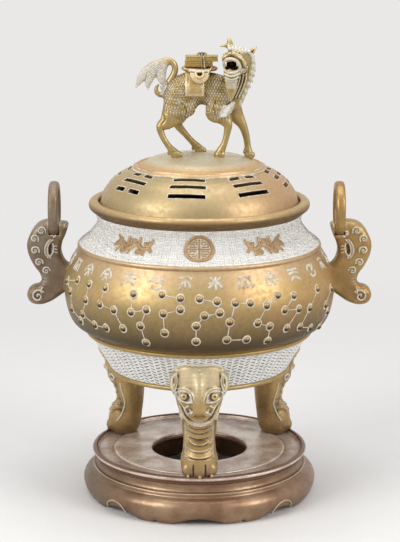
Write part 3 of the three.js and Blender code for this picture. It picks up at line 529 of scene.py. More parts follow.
class Shader:
    """A material and its nodes."""

    def __init__(self, name):
        self.material = bpy.data.materials.new(name)
        self.material.use_nodes = True
        self.tree = self.material.node_tree
        self.surface = self.tree.nodes["Principled BSDF"]
        self.place = self.node("ShaderNodeTexCoord").outputs["Object"]

    def node(self, kind, settings=None, inputs=None):
        """A new node with its settings and inputs, which are values or sockets to link."""
        node = self.tree.nodes.new(kind)
        for key, value in (settings or {}).items():
            setattr(node, key, value)
        for key, value in (inputs or {}).items():
            self.set(node.inputs[key], value)
        return node

    def set(self, socket, value):
        """Links a socket to another, or gives it a value."""
        if isinstance(value, bpy.types.NodeSocket):
            self.tree.links.new(value, socket)
        else:
            socket.default_value = value

    def math(self, operation, a, b=0.0):
        """The result of a Math node."""
        return self.node("ShaderNodeMath", {"operation": operation}, {0: a, 1: b}).outputs[0]

    def mix(self, share, a, b):
        """Colour a, turning into colour b as the share goes from 0 to 1."""
        node = self.node("ShaderNodeMix", {"data_type": "RGBA"}, {0: share, 6: a, 7: b})
        return node.outputs[2]

    def noise(self, size_mm, detail, rough=0.55):
        """Cloudy noise whose spots are about as large as size_mm."""
        scale = 1 / (size_mm * MM)
        inputs = {"Vector": self.place, "Scale": scale, "Detail": detail, "Roughness": rough}
        return self.node("ShaderNodeTexNoise", None, inputs).outputs["Fac"]

    def span(self, value, low, high, to_low=0.0, to_high=1.0):
        """The value from low to high, mapped to to_low and to_high and held there."""
        inputs = {0: value, 1: low, 2: high, 3: to_low, 4: to_high}
        return self.node("ShaderNodeMapRange", {"clamp": True}, inputs).outputs[0]

    def along(self, axis, start, end, share):
        """A ramp from 0 to a share between two places in millimetres on an axis of the object."""
        place = self.node("ShaderNodeSeparateXYZ", None, {0: self.place}).outputs[axis]
        if start > end:
            return self.span(place, end * MM, start * MM, share, 0)
        return self.span(place, start * MM, end * MM, 0, share)

    def layer(self, name):
        """A value stored at the points of the mesh."""
        return self.node("ShaderNodeAttribute", {"attribute_name": name}).outputs["Fac"]

    def dress(self, colour, rough, metal=None, normal=None):
        """Sets the surface's main sockets."""
        sockets = {"Base Color": colour, "Roughness": rough, "Metallic": metal, "Normal": normal}
        for name, value in sockets.items():
            if value is not None:
                self.set(self.surface.inputs[name], value)

    def bump(self, height, distance_mm, strength, normal=None):
        """A normal that leans as the height says, on top of another normal."""
        inputs = {"Height": height, "Distance": distance_mm * MM, "Strength": strength}
        if normal is not None:
            inputs["Normal"] = normal
        return self.node("ShaderNodeBump", None, inputs).outputs[0]


# The two shades of a pale filling
CREAM = (tone(188, 184, 172), tone(232, 230, 222))
WHITE = (tone(218, 218, 214), tone(244, 243, 240))
EDGE_SHINE = tone(232, 214, 168)


def patinated(shader, colour, deep, patina, cloud_mm, tints, speck):
    """Colour of bare metal: clouds and tints, some of which paint light or shade, dark specks, hollows
    darkened with dark patina and painted shade, and bright edges.
    """
    cloud = shader.span(shader.noise(cloud_mm, 4), 0.36, 0.64)
    base = shader.mix(cloud, colour, patina)
    for axis, start, end, share, tint in tints:
        base = shader.mix(shader.along(axis, start, end, share), base, tint)
    base = shader.mix(shader.math("MULTIPLY", speck, 0.3), base, deep)
    # Hollows take the deep colour: partly dark patina, partly painted shade where light would be occluded.
    hollow = shader.layer("hollow")
    base = shader.mix(shader.span(hollow, 0.01, 0.18, 0, 0.92), base, deep)
    return shader.mix(shader.span(hollow, -0.28, -0.08, 0.4, 0), base, EDGE_SHINE)


def filled_share(shader, grain, worn):
    """How much pale filling is left: less where it is rubbed away, in fine grains and in spots."""
    fine = shader.span(grain, 0.36, 0.5, 1 - 0.75 * worn, 1)
    spots = shader.span(shader.noise(7, 3), 0.36, 0.5, 1 - 0.6 * worn, 1)
    return shader.math("MULTIPLY", shader.layer("fill"), shader.math("MULTIPLY", fine, spots))


def cast_metal(
    name, colour, deep, patina, cloud_mm=45, rough=0.46, metal=0.5, tints=(), worn=1.0, filling=CREAM,
):
    """Aged cast metal, with pale filling where the layer named fill says so.

    Each of tints is (axis, from, to, share, colour), a colour that comes in between two places in
    millimetres. worn is how much of the filling is rubbed away.
    """
    shader = Shader(name)
    speck = shader.span(shader.noise(4.5, 6, 0.7), 0.42, 0.75)
    base = patinated(shader, colour, deep, patina, cloud_mm, tints, speck)
    grain = shader.noise(1.5, 5, 0.7)
    fill = filled_share(shader, grain, worn)
    chalk = shader.mix(shader.span(grain, 0.35, 0.65), *filling)
    matt = shader.span(speck, 0, 1, rough - 0.05, rough + 0.16)
    pits = shader.bump(shader.noise(1.1, 4, 0.6), 0.05, 0.5)
    dents = shader.bump(shader.noise(16, 3), 0.2, 0.4, pits)
    shader.dress(
        shader.mix(fill, base, chalk),
        shader.math("MAXIMUM", matt, shader.span(fill, 0, 1, 0, 0.85)),
        shader.span(fill, 0, 1, metal, 0),
        dents,
    )
    return shader.material


# Each metal's colour, that of its hollows and that of its patina
BELLY_BRASS = cast_metal(
    "belly_brass", tone(172, 152, 100), tone(66, 52, 32), tone(190, 156, 108), 42, 0.44, 0.6,
    tints=[
        # The tint from 226 mm down to 186 mm is painted shade on the lower belly.
        ("X", 10, 120, 0.6, tone(192, 150, 92)), ("Z", 226, 186, 0.95, tone(76, 60, 36)),
        ("Z", 236, 252, 0.8, tone(196, 166, 128)), ("Z", 286, 289, 1, tone(112, 86, 52)),
        # From 177 mm down the lower ridge turns lighter again, over the painted shade.
        ("Z", 177, 173.5, 0.9, tone(178, 150, 96)),
        # Painted highlight on the top of the lip.
        ("Z", MOUTH_TOP - 6, MOUTH_TOP - 1.5, 0.9, tone(192, 164, 118)),
    ],
)
NECK_FILLED = cast_metal(
    "neck_filling", tone(128, 120, 108), tone(88, 80, 70), tone(150, 138, 120), 20, 0.6, 0.1,
    worn=0.3, filling=WHITE,
)
BAND_FILLED = cast_metal(
    "band_filling", tone(76, 74, 72), tone(48, 46, 46), tone(92, 88, 82), 16, 0.6, 0.2,
    worn=0.35, filling=WHITE,
)
SCROLL_BRASS = cast_metal("scroll_brass", tone(176, 144, 102), tone(96, 74, 48), tone(162, 130, 90), 14, 0.44)
LID_BRASS = cast_metal(
    "lid_brass", tone(166, 150, 110), tone(104, 84, 54), tone(182, 158, 116), 55, 0.44, 0.55,
    tints=[
        ("X", 10, 90, 0.8, tone(196, 154, 114)),
        ("Z", CROWN_TOP - 14.4, CROWN_TOP - 13.6, 0.85, tone(202, 166, 118)),
        ("Z", CROWN_TOP - 9.4, CROWN_TOP - 6, 0.9, tone(206, 196, 168)),
    ],
)
LEG_BRASS = cast_metal(
    "leg_brass", tone(186, 158, 106), tone(52, 38, 24), tone(164, 134, 86), 30, 0.4, 0.55,
    # The first tint is a painted highlight on the forehead.
    tints=[("Z", 124, 142, 0.75, tone(212, 196, 160)), ("Z", 66, 50, 0.75, tone(128, 102, 74))],
)
BRIGHT_BRASS = cast_metal("bright_brass", tone(172, 142, 86), tone(76, 56, 32), tone(150, 116, 68), 26, 0.4)
BROWN_BRASS = cast_metal(
    "brown_brass", tone(136, 122, 104), tone(54, 46, 38), tone(118, 96, 74), 24, 0.46, 0.4,
)
BEAST_BRASS = cast_metal(
    "beast_brass", tone(176, 150, 98), tone(54, 40, 22), tone(158, 138, 86), 14, 0.38, 0.6, worn=0.3,
)
SADDLERY_BRASS = cast_metal(
    "saddlery_brass", tone(198, 172, 114), tone(70, 52, 28), tone(176, 144, 84), 12, 0.44,
)
DARK_BRASS = cast_metal("dark_brass", tone(98, 80, 54), tone(36, 30, 22), tone(76, 62, 42), 14, 0.48)
STAND_BRONZE = cast_metal(
    "stand_bronze", tone(164, 136, 108), tone(62, 46, 34), tone(132, 98, 72), 30, 0.34, 0.55,
    # Both tints are painted shade, darker towards the apron's sides, more on the left.
    tints=[("X", -40, -120, 0.85, tone(100, 80, 62)), ("X", 50, 120, 0.5, tone(128, 98, 78))],
)
# The plate's very pale colour is partly painted light, raised to offset the shade the bowl casts on it.
PLATE_BRONZE = cast_metal(
    "plate_bronze", tone(240, 228, 214), tone(104, 78, 64), tone(184, 156, 138), 24, 0.3, 0.3,
    tints=[
        ("Z", PLATE_TOP + 0.9, PLATE_TOP + 1.8, 1, tone(116, 84, 68)),
        ("Z", PLATE_TOP - 0.6, PLATE_TOP - 2.0, 1, tone(116, 84, 68)),
    ],
    worn=0.4,
)
# Pale metal for the apron's arcs and the shoulder line; on the shoulder it is partly a painted highlight.
PALE_EDGE = cast_metal(
    "pale_edges", tone(206, 190, 158), tone(120, 98, 78), tone(180, 158, 128), 20, 0.5, 0.4,
)


def star_brass():
    """Brass with painted shade on the undersides of the domes and lighter tops."""
    shader = Shader("star_brass")
    up = shader.node("ShaderNodeNewGeometry").outputs["Normal"]
    rise = shader.node("ShaderNodeSeparateXYZ", None, {0: up}).outputs[2]
    # Painted shade: dark where the surface faces down, brass where it faces up.
    base = shader.mix(shader.span(rise, -0.25, 0.45), tone(58, 44, 30), tone(182, 150, 98))
    base = shader.mix(shader.math("MULTIPLY", shader.noise(3, 4), 0.3), base, tone(92, 70, 44))
    shader.dress(base, 0.42, 0.5)
    return shader.material


def chalk():
    """The pale filling in the engraving, with brass showing through in places."""
    shader = Shader("pale_filling")
    grain = shader.noise(2.2, 5, 0.7)
    worn = shader.span(shader.noise(9, 4), 0.46, 0.7, 0, 0.8)
    pale = shader.mix(shader.span(grain, 0.35, 0.65), tone(188, 180, 162), tone(232, 228, 216))
    colour = shader.mix(worn, pale, tone(164, 138, 94))
    shader.dress(colour, shader.span(grain, 0.3, 0.7, 0.6, 0.85), normal=shader.bump(grain, 0.08, 0.7))
    return shader.material


STAR_BRASS = star_brass()
CHALK = chalk()


# Bowl
BELLY_HEIGHT = 217
SHOULDER_HEIGHT = 237
BAND_LINE = smooth([(89.6, BASE_HEIGHT + 6), (99, 150), (108.6, 166), (112, 169)], 26)
BELLY_KNOTS = [
    (112.8, 173.6), (128.6, 184), (BELLY_RADIUS, BELLY_HEIGHT), (131.8, SHOULDER_HEIGHT), (120.6, 256.7),
]
BELLY_LINE = smooth(BELLY_KNOTS, 60)
NECK_LINE = smooth([(120.6, 260.7), (109.5, 270), NECK, (103.5, 291.4)], 36)
LIP_RADIUS = 5
LEDGE = (93.2, MOUTH_TOP - 6)
BORE_RADIUS = 101.2


def bowl_profile():
    """The bowl's section: up its outer face from the axis, over the lip, and down its hollow."""
    lip = arc((MOUTH_RADIUS - LIP_RADIUS, MOUTH_TOP - LIP_RADIUS), LIP_RADIUS, -110, 92, 15)
    bore, bottom = BELLY_RADIUS - BOWL_WALL, BASE_HEIGHT + BOWL_WALL
    inside = [
        (BORE_RADIUS, MOUTH_TOP - 0.8), (BORE_RADIUS, LEDGE[1]), LEDGE, (LEDGE[0], LEDGE[1] - 4),
        (NECK[0] - BOWL_WALL, NECK[1]), (NECK_RIDGE[0] - BOWL_WALL - 1.8, NECK_RIDGE[1]),
        (bore - 4.4, SHOULDER_HEIGHT), (bore, BELLY_HEIGHT), (bore - 8, 185),
        (LOWER_RIDGE[0] - 2 * BOWL_WALL - 1.8, LOWER_RIDGE[1] + BOWL_WALL),
        (99 - BOWL_WALL, 152), (85, bottom + 3), (79, bottom), (0, bottom),
    ]
    return chain(
        (0, BASE_HEIGHT), (86.4, BASE_HEIGHT), (87, BASE_HEIGHT + 0.6), bead(*BASE_RIDGE, 2.4), BAND_LINE,
        bead(*LOWER_RIDGE, 2.2), BELLY_LINE, bead(*NECK_RIDGE, 2), NECK_LINE, (103.9, 293.4), lip, inside,
    )


class Wall:
    """The face of a turned body, on which relief is laid. Its profile runs upwards."""

    def __init__(self, profile):
        self.line = resample(np.asarray(profile, float), 0.6)
        self.length = np.concatenate([[0], np.cumsum(np.linalg.norm(np.diff(self.line, axis=0), axis=1))])
        ahead = np.gradient(self.line, axis=0)
        ahead /= np.linalg.norm(ahead, axis=1, keepdims=True)
        self.out = np.stack([ahead[:, 1], -ahead[:, 0]], axis=1)

    def at(self, azimuth, place, out):
        """Points at azimuths in radians and lengths up the profile, that stand out by a distance."""
        r, z, dr, dz = (np.interp(place, self.length, v) for v in (*self.line.T, *self.out.T))
        return polar(azimuth, r + out * dr, z + out * dz)

    def place(self, height):
        """Length up the profile at a height."""
        return np.interp(height, self.line[:, 1], self.length)

    def radius(self, place):
        """Radius at a length up the profile."""
        return np.interp(place, self.length, self.line[:, 0])

    def patch(self, azimuth, height):
        """The surface round a point at an azimuth in degrees, as a function of across, along and out."""
        middle = self.place(height)
        girth = float(self.radius(middle))

        def surface(across, along, out):
            return self.at(math.radians(azimuth) + across / girth, middle + along, out)

        return surface


BAND_WALL, BELLY_WALL, NECK_WALL = Wall(BAND_LINE), Wall(BELLY_LINE), Wall(NECK_LINE)
# How far a shell of relief stays from the ends of its wall
SHELL_EDGE = 0.3
# The neck's squares of spirals and the step between their turns, and the scales of the lower band
FRET_CELL = 7.2
FRET_PITCH = 1.8
BAND_GIRTH_RADIUS = 101
BAND_COLUMNS = 102
BAND_CELL_HEIGHT = 3.9


def relief_shell(name, wall, steps, rows, height_at, material):
    """A thin shell on a wall of the bowl, whose height and filling height_at(turn, place) gives."""
    turn = np.arange(steps) * TURN / steps
    place = np.linspace(SHELL_EDGE, wall.length[-1] - SHELL_EDGE, rows)
    t, p = np.meshgrid(turn, place)
    out, fill = height_at(t, p)
    outer = wall.at(t.ravel(), p.ravel(), out.ravel())
    inner = wall.at(np.tile(turn, rows), np.repeat(place[::-1], steps), -SUNK)
    faces = grid_faces(2 * rows, steps, wrap_rows=True)
    back = np.ones(rows * steps)
    # Where the filling is thin, the layer named hollow darkens the metal; on the lower band this is painted
    # shadow.
    layers = {
        "fill": np.concatenate([fill.ravel(), back]),
        "hollow": np.concatenate([0.25 - 0.5 * fill.ravel(), 0 * back]),
    }
    return piece(name, np.concatenate([outer, inner]), [faces], material, "vessel", "bowl", **layers)


def fret(across, along, cell, pitch):
    """How raised a square spiral is, from 0 to 1, in every cell of a field of them."""
    column = np.floor(across / cell)
    row = np.floor(along / cell + 0.5 * (column % 2))
    u = (across / cell - column - 0.5) * cell
    v = (along / cell + 0.5 * (column % 2) - row - 0.5) * cell
    flip = np.where((column + row) % 2 > 0, 1.0, -1.0)
    ring = (np.maximum(np.abs(u), np.abs(v)) + pitch * np.arctan2(v * flip, u) / TURN) / pitch
    wave = np.abs(ring - np.floor(ring) - 0.5) * 2
    return np.clip((wave - 0.45) / 0.3, 0, 1)


def neck_relief(turn, place):
    """A fine fret of square spirals, with less filling in slanting streaks, most towards the sides."""
    girth = float(NECK_WALL.radius(NECK_WALL.length[-1] / 2))
    line = fret(turn * girth, place, FRET_CELL, FRET_PITCH)
    edge = np.clip(np.minimum(place, NECK_WALL.length[-1] - place) / 1.2, 0, 1)
    coarse = np.sin(turn * 61 + place * 0.9) * np.sin(turn * 23 - place * 0.31)
    streak = coarse + 0.6 * np.sin(turn * 151 + place * 1.7)
    side_streaks = np.clip(0.35 + 0.65 * streak, 0, 1) * np.clip(np.abs(np.sin(turn)) * 1.5 - 0.2, 0, 1)
    return 0.15 + 0.42 * line * edge, 1 - line * edge * (0.4 + 0.45 * side_streaks)


def band_relief(turn, place):
    """Columns of small overlapping scales, each with a slanting hollow under its rim, dark with bare metal
    and painted shadow.
    """
    width = TURN * BAND_GIRTH_RADIUS / BAND_COLUMNS
    column = np.floor(turn * BAND_GIRTH_RADIUS / width)
    x = turn * BAND_GIRTH_RADIUS / width - column - 0.5
    y = place / BAND_CELL_HEIGHT + 0.5 * (column % 2)
    y = y - np.floor(y)
    rim = np.abs(y - 0.5 - 0.6 * np.where(column % 2 > 0, x, -x) - 0.7 * x * x)
    # Painted shadow under each scale's rim, together with the dark metal there.
    dark = np.clip(1.3 - rim / 0.21, 0, 1) * np.clip((0.42 - np.abs(x)) / 0.14, 0, 1)
    edge = np.clip(np.minimum(place, BAND_WALL.length[-1] - place) / 1.0, 0, 1)
    return 0.75 - 0.6 * dark * edge, 1 - 0.92 * dark * edge


# Star chains on the belly: groups of domes as (azimuth in degrees, height), each joined in order.
STAR_CHAINS = [
    [(-63, 234), (-75, 228), (-68, 220), (-68, 203), (-60, 195)],
    [(-53, 234.5), (-53.6, 219), (-57, 203), (-49, 196), (-42, 196)],
    [(-42.6, 235), (-44.3, 219), (-36.7, 216), (-32.7, 199)],
    [(-27.8, 234), (-28.3, 216.6), (-21.5, 220.6), (-24.3, 204), (-22.8, 187)],
    [(-15.3, 235.5), (-7.6, 233), (-7.5, 222.6), (-14.4, 218), (-14.1, 199)],
    [(0.1, 232.7), (7.2, 230), (8.2, 219.5), (2.1, 217), (-1.2, 207), (-1.3, 191)],
    [(20.9, 227), (14.6, 228), (12.3, 210), (11.4, 192), (19.9, 191)],
    [(33.9, 231), (28.1, 223), (24.1, 207), (29.8, 202), (30, 187)],
    [(42.1, 228), (36.8, 216), (44.6, 214), (38.7, 197)],
    [(58.2, 228), (51.7, 212), (46.8, 195), (55.2, 190)],
    [(72.9, 221), (65.8, 208), (70.3, 199), (65, 186)],
]
DOME_RADIUS = 3.2
DOME_HEIGHT = 2.5
RING_RADII = (2.9, 4.5)
MARK_COUNT = 28
MARK_HEIGHT = 246
MARK_SCALE = (1.7, 1.55)
STAR_LINE_START = 3.8


def dome_profile():
    """Section of one dome, from its top to below the wall."""
    rise = arc((0, 0), 1, 90, 4, 7)
    return [(DOME_RADIUS * x, 0.2 + DOME_HEIGHT * y) for x, y in rise] + [(DOME_RADIUS, -0.8), (0, -0.8)]


def bowl_stars():
    """The domes, and the pale rings and lines that join them, on both halves of the belly."""
    domes, lines = Heap(), Heap()
    inner, outer = RING_RADII
    ring = [(inner, -0.5), (inner, 0.5), ((inner + outer) / 2, 0.62), (outer, 0.2), (outer, -0.5)]
    for half in (0, 180):
        for stars in STAR_CHAINS:
            for azimuth, height in stars:
                surface = BELLY_WALL.patch(azimuth + half, height)
                button(domes, surface, dome_profile(), 18)
                button(lines, surface, ring, 20, squash=1.06)
            for (a, low), (b, high) in zip(stars, stars[1:]):
                surface = BELLY_WALL.patch((a + b) / 2 + half, (low + high) / 2)
                middle = BELLY_WALL.place((low + high) / 2)
                girth = float(BELLY_WALL.radius(middle))
                start = np.array([math.radians(a - b) / 2 * girth, BELLY_WALL.place(low) - middle])
                end = np.array([math.radians(b - a) / 2 * girth, BELLY_WALL.place(high) - middle])
                step = (end - start) / np.linalg.norm(end - start)
                path = np.linspace(start + step * STAR_LINE_START, end - step * STAR_LINE_START, 8)
                ribbon(lines, surface, path, 0.85, 0.2)
    domes.piece("belly_domes", STAR_BRASS, "vessel", "bowl")
    lines.piece("belly_lines", CHALK, "vessel", "bowl")


# Strokes of six made-up cloud and plant marks, each a list of [across, along] curves about the mark's middle.
MARKS = [
    [[(-4, -3), (-1, 1), (-3, 4)], [(0, -4.5), (0, 4.5)], [(4, -3), (1, 1), (3, 4)], [(-4, 0), (4, 0.6)]],
    [[(-4, 3), (0, 4.4), (4, 3)], [(-3, -4), (-2, 0), (0, 1.6), (2, 0), (3, -4)], [(0, 1.6), (0, -3)],
     [(-4, -1), (-2, -1)]],
    [[(-4, 0), (-2, 3), (1, 3), (2, 0.5), (0, -0.6)], [(4, -1), (2, -4), (-1, -4), (-2, -2)],
     [(3, 4), (4, 1)]],
    [[(-4, 3.6), (4, 3.6)], [(-4, 0.8), (0, 1.6), (4, 0.8)], [(-4, -3.8), (-1, -1.4), (1, -1.4), (4, -3.8)],
     [(0, 3.6), (0, 1.6)]],
    [[(0, 4.6), (-3, 1.5), (-4, -2)], [(0, 4.6), (3, 1.5), (4, -2)], [(-2, -4), (0, -1), (2, -4)],
     [(-2, 0.6), (2, 0.6)]],
    [[(-4, -4), (-3, 1), (0, 4), (3, 1), (4, -4)], [(-1.4, -4), (0, 0.6), (1.4, -4)], [(-4, 4), (-2.6, 2.6)],
     [(4, 4), (2.6, 2.6)]],
]


def bowl_marks():
    """A ring of small engraved marks with pale filling, above the stars."""
    heap = Heap()
    for k in range(MARK_COUNT):
        surface = BELLY_WALL.patch(7 + k * 360 / MARK_COUNT, MARK_HEIGHT)
        for stroke in MARKS[(k * 5 + k // 6) % len(MARKS)]:
            path = smooth(stroke, 9) if len(stroke) > 2 else np.linspace(*stroke, 5)
            path = path * MARK_SCALE
            for width, top in ((2.3, 0.16), (1.1, 0.45)):
                ribbon(heap, surface, path, width, top)
    heap.piece("belly_marks", CHALK, "vessel", "bowl")


def bowl_medallions():
    """Round medallions in the middle of the neck, front and back: a ring round a fret on a pale ground."""
    rings, ground, lines = Heap(), Heap(), Heap()
    rim = [(11.6, -0.4), (11.6, 1.3), (12.4, 1.7), (13.6, 1.7), (14.5, 1.1), (14.5, -0.4)]
    disc = [(0, 0.75), (3, 0.75), (6, 0.75), (9, 0.75), (11.9, 0.75), (11.9, -0.5), (6, -0.5), (0, -0.5)]
    for azimuth in (0, 180):
        surface = NECK_WALL.patch(azimuth, MEDALLION_HEIGHT)
        button(rings, surface, rim, 56)
        button(ground, surface, disc, 48)
        for side in (-1, 1):
            for path in medallion_fret():
                ribbon(lines, surface, np.asarray(path, float) * [side, 1], 1.15, 1.25)
    rings.piece("neck_medallion_rings", SCROLL_BRASS, "vessel", "bowl")
    ground.piece("neck_medallion_grounds", CHALK, "vessel", "bowl")
    lines.piece("neck_medallion_frets", SCROLL_BRASS, "vessel", "bowl")


def medallion_fret():
    """Right half of the medallion's fret: hooks above and below a level bar, beside an upright one."""
    hook = [(2.6, 2.2), (8.8, 2.2), (8.8, 5.4), (5, 5.4), (5, 4)]
    cap = [(2.6, 4.6), (2.6, 7.6), (6.8, 7.6)]
    paths = [hook, cap, [(2.4, 9.8), (4.2, 9.4)]]
    mirrored = [[(x, -y) for x, y in path] for path in paths]
    bars = [[(0.4, 0), (10.6, 0)], [(0.3, -10.4), (0.3, 10.4)]]
    return [stepped(path) for path in paths + mirrored + bars]


def stepped(corners, step=0.8):
    """A path along straight legs with sharp corners."""
    return resample(np.asarray(corners, float), step)


MEDALLION_HEIGHT = 274.2
SCROLL_HEIGHT = 273.6
SCROLL_TALL = 1.16
# Curls of a scroll as (middle, radius, turns, start in degrees, way round)
SCROLL_CURLS = [
    ((-17.5, 3.6), 3.6, 1.0, 210, 1), ((-8.6, -4.6), 3.6, 1.0, 30, -1), ((0.6, 4.6), 3.8, 1.0, 150, 1),
    ((9.4, -4.2), 3.6, 1.0, 20, -1), ((17.6, 3.4), 3.4, 1.0, 160, 1),
]
SCROLL_BODY = [
    (-22.5, -2), (-17, -0.4), (-12.6, 1.6), (-8, -0.6), (-3.8, -2.6), (0.6, 0.2), (5.4, 2), (9.6, -0.4),
    (14, -1.8), (18.4, -0.6), (23, -4.4),
]
SCROLL_STEMS = [
    [(-22, 7.4), (-18.6, 5.4), (-14, 3.4)], [(-16.4, -7.6), (-14, -3.6), (-11, 0)],
    [(-6.6, 8), (-6.2, 3.6), (-5, -0.6)], [(-1.4, -8.2), (-0.4, -4.4), (1.6, -0.6)],
    [(7.4, 8.4), (7.2, 4.6), (8, 1)], [(15.6, -8), (14.6, -4.6), (13, -1.4)],
    [(22.4, 7.6), (20.6, 3), (18.4, -0.6)],
]


def scroll_motif(side):
    """A dragon-like cloud scroll of thick joined curls, about 46 mm wide, as [path, width] pairs."""
    paths = []
    for (x, y), radius, turns, start, flip in SCROLL_CURLS:
        curl = spiral(radius, turns, start, flip) + (x, y)
        paths.append((curl * [side, SCROLL_TALL], np.linspace(3.1, 2.1, len(curl))))
    body = smooth(SCROLL_BODY, 60)
    paths.append((body * [side, SCROLL_TALL], 4.6 * np.sin(np.linspace(0.3, 2.85, len(body))) ** 0.4))
    for stem in SCROLL_STEMS:
        line = smooth(stem, 14)
        paths.append((line * [side, SCROLL_TALL], np.linspace(2.3, 3.4, len(line))))
    return paths


def bowl_motifs():
    """The scrolls on the neck, each on a pale ground, two in front and two behind."""
    heap, ground = Heap(), Heap()
    for azimuth, side in ((-37, 1), (37, -1), (143, 1), (-143, -1)):
        surface = NECK_WALL.patch(azimuth, SCROLL_HEIGHT)
        for path, width in scroll_motif(side):
            ribbon(heap, surface, path, width, 0.95, round_top=0.35)
            ribbon(ground, surface, path, np.asarray(width) + 1.6, 0.62)
    heap.piece("neck_scrolls", SCROLL_BRASS, "vessel", "bowl")
    ground.piece("neck_scroll_grounds", CHALK, "vessel", "bowl")


def bowl():
    """The cast bowl and the relief on its neck, belly and lower band."""
    points, faces = turned(resample(bowl_profile(), 3), 320)
    piece("bowl_body", points, faces, BELLY_BRASS, "vessel", "bowl", ["bowl"])
    relief_shell("neck_fret", NECK_WALL, 2400, 96, neck_relief, NECK_FILLED)
    relief_shell("lower_band_scales", BAND_WALL, 1500, 110, band_relief, BAND_FILLED)
    bowl_stars()
    bowl_marks()
    bowl_medallions()
    bowl_motifs()


# Lid
LID_SEAT = MOUTH_TOP - 5.7
LID_EDGE = 99
LID_WALL = 3.5
CROWN_RADIUS = 63.7
CROWN_HEIGHT = CROWN_TOP - 13.2
DOME_RISE = CROWN_HEIGHT - LID_SEAT
DOME_LOWER = LID_SEAT + 0.367 * DOME_RISE
DOME_UPPER = LID_SEAT + 0.689 * DOME_RISE
DOME_LINE = smooth(
    [
        (LID_EDGE, LID_SEAT + 3), (95.5, DOME_LOWER), (86, DOME_UPPER),
        (77, LID_SEAT + 0.85 * DOME_RISE), (CROWN_RADIUS + 2.6, CROWN_HEIGHT - 0.9),
    ],
    44,
)
CROWN_LINE = smooth(
    [(57.4, CROWN_HEIGHT + 3.4), (45, CROWN_TOP - 4.2), (26, CROWN_TOP - 1.3), (0, CROWN_TOP)], 26,
)
DOME_WALL = Wall(DOME_LINE)
VENT_WIDTH = 4.8
VENT_GAP = 7
VENT_REACH = 12
VENT_RIM = 0.35
VENT_CORNER = 0.9
VENT_RING_TURN = -8
# Where the slots point from: a radius, and how far below the mouth
VENT_CENTRE_RADIUS = 40
VENT_CENTRE_DEPTH = 4
# Radius and length of each row of slots, from the lowest row up
VENT_ROWS = [(88.4, 36.5), (79, 35), (68.9, 30.5)]
# The eight trigrams in the order of the later heaven, bottom row first; 1 is a whole row
TRIGRAMS = ["111", "110", "000", "101", "011", "100", "001", "010"]


def lid_profile():
    """The lid's section: from the axis along its hollow, round the collar, and up over the dome."""
    collar = LEDGE[0] - 1
    return chain(
        (0, CROWN_TOP - LID_WALL), (55.7, CROWN_HEIGHT - 1), (75.5, DOME_WALL.line[0][1] + 21.6),
        (83, DOME_UPPER - LID_WALL), (collar - LID_WALL, DOME_LOWER),
        (collar - LID_WALL, LID_SEAT - 7), (collar, LID_SEAT - 7), (collar, LID_SEAT),
        (LID_EDGE - 0.5, LID_SEAT), (LID_EDGE, LID_SEAT + 0.5), DOME_LINE,
        arc((CROWN_RADIUS + 1.2, CROWN_HEIGHT + 0.2), 1.3, -10, 130, 6),
        (CROWN_RADIUS - 0.8, CROWN_HEIGHT + 0.6), arc((61.2, CROWN_HEIGHT + 2), 1.5, 20, 160, 6), CROWN_LINE,
    )


def vents():
    """Azimuth in degrees, height, radius, place sideways and half length of each slot."""
    for number, rows in enumerate(TRIGRAMS):
        azimuth = VENT_RING_TURN + number * 360 / len(TRIGRAMS)
        for whole, (radius, length) in zip(rows, VENT_ROWS):
            height = float(np.interp(-radius, -DOME_WALL.line[:, 0], DOME_WALL.line[:, 1]))
            part = (length - VENT_GAP) / 2
            slots = [(-(part + VENT_GAP) / 2, part / 2), ((part + VENT_GAP) / 2, part / 2)]
            if whole == "1":
                slots = [(0, length / 2)]
            for sideways, half in slots:
                yield azimuth, height, radius, sideways, half


def vent_slope(height, radius):
    """Slope of a slot's direction over the level, in radians."""
    return math.atan2(height - MOUTH_TOP + VENT_CENTRE_DEPTH, radius - VENT_CENTRE_RADIUS)


def vent_cutters():
    """A block through the dome for each slot."""
    heap = Heap()
    corners = np.array([(x, y, z) for x in (-1, 1) for y in (-1, 1) for z in (-1, 1)], float)
    quads = np.array([(0, 1, 3, 2), (4, 6, 7, 5), (0, 4, 5, 1), (2, 3, 7, 6), (0, 2, 6, 4), (1, 5, 7, 3)])
    for azimuth, height, radius, sideways, half in vents():
        slope = vent_slope(height, radius)
        a = math.radians(azimuth)
        out = np.array([math.sin(a), -math.cos(a), 0])
        side = np.array([math.cos(a), math.sin(a), 0])
        up = np.array([0, 0, 1])
        normal = out * math.cos(slope) + up * math.sin(slope)
        ahead = up * math.cos(slope) - out * math.sin(slope)
        middle = out * radius + up * height + side * sideways
        c = corners * [VENT_REACH, half, VENT_WIDTH / 2]
        heap.add(middle + c[:, :1] * normal + c[:, 1:2] * side + c[:, 2:] * ahead, [quads])
    return heap


def cut_from(thing, heap):
    """Cuts solids out of a piece."""
    mesh = bpy.data.meshes.new("cutters")
    mesh.from_pydata((np.concatenate(heap.points) * MM).tolist(), [], np.concatenate(heap.faces).tolist())
    tool = linked("cutters", mesh)
    modifier = thing.modifiers.new("slots", "BOOLEAN")
    modifier.operation, modifier.solver, modifier.object = "DIFFERENCE", "EXACT", tool
    cut = thing.evaluated_get(bpy.context.evaluated_depsgraph_get())
    result = bpy.data.meshes.new_from_object(cut)
    thing.modifiers.clear()
    bpy.data.objects.remove(tool)
    thing.data = result
    result.shade_smooth()
    result.set_sharp_from_angle(angle=math.radians(40))


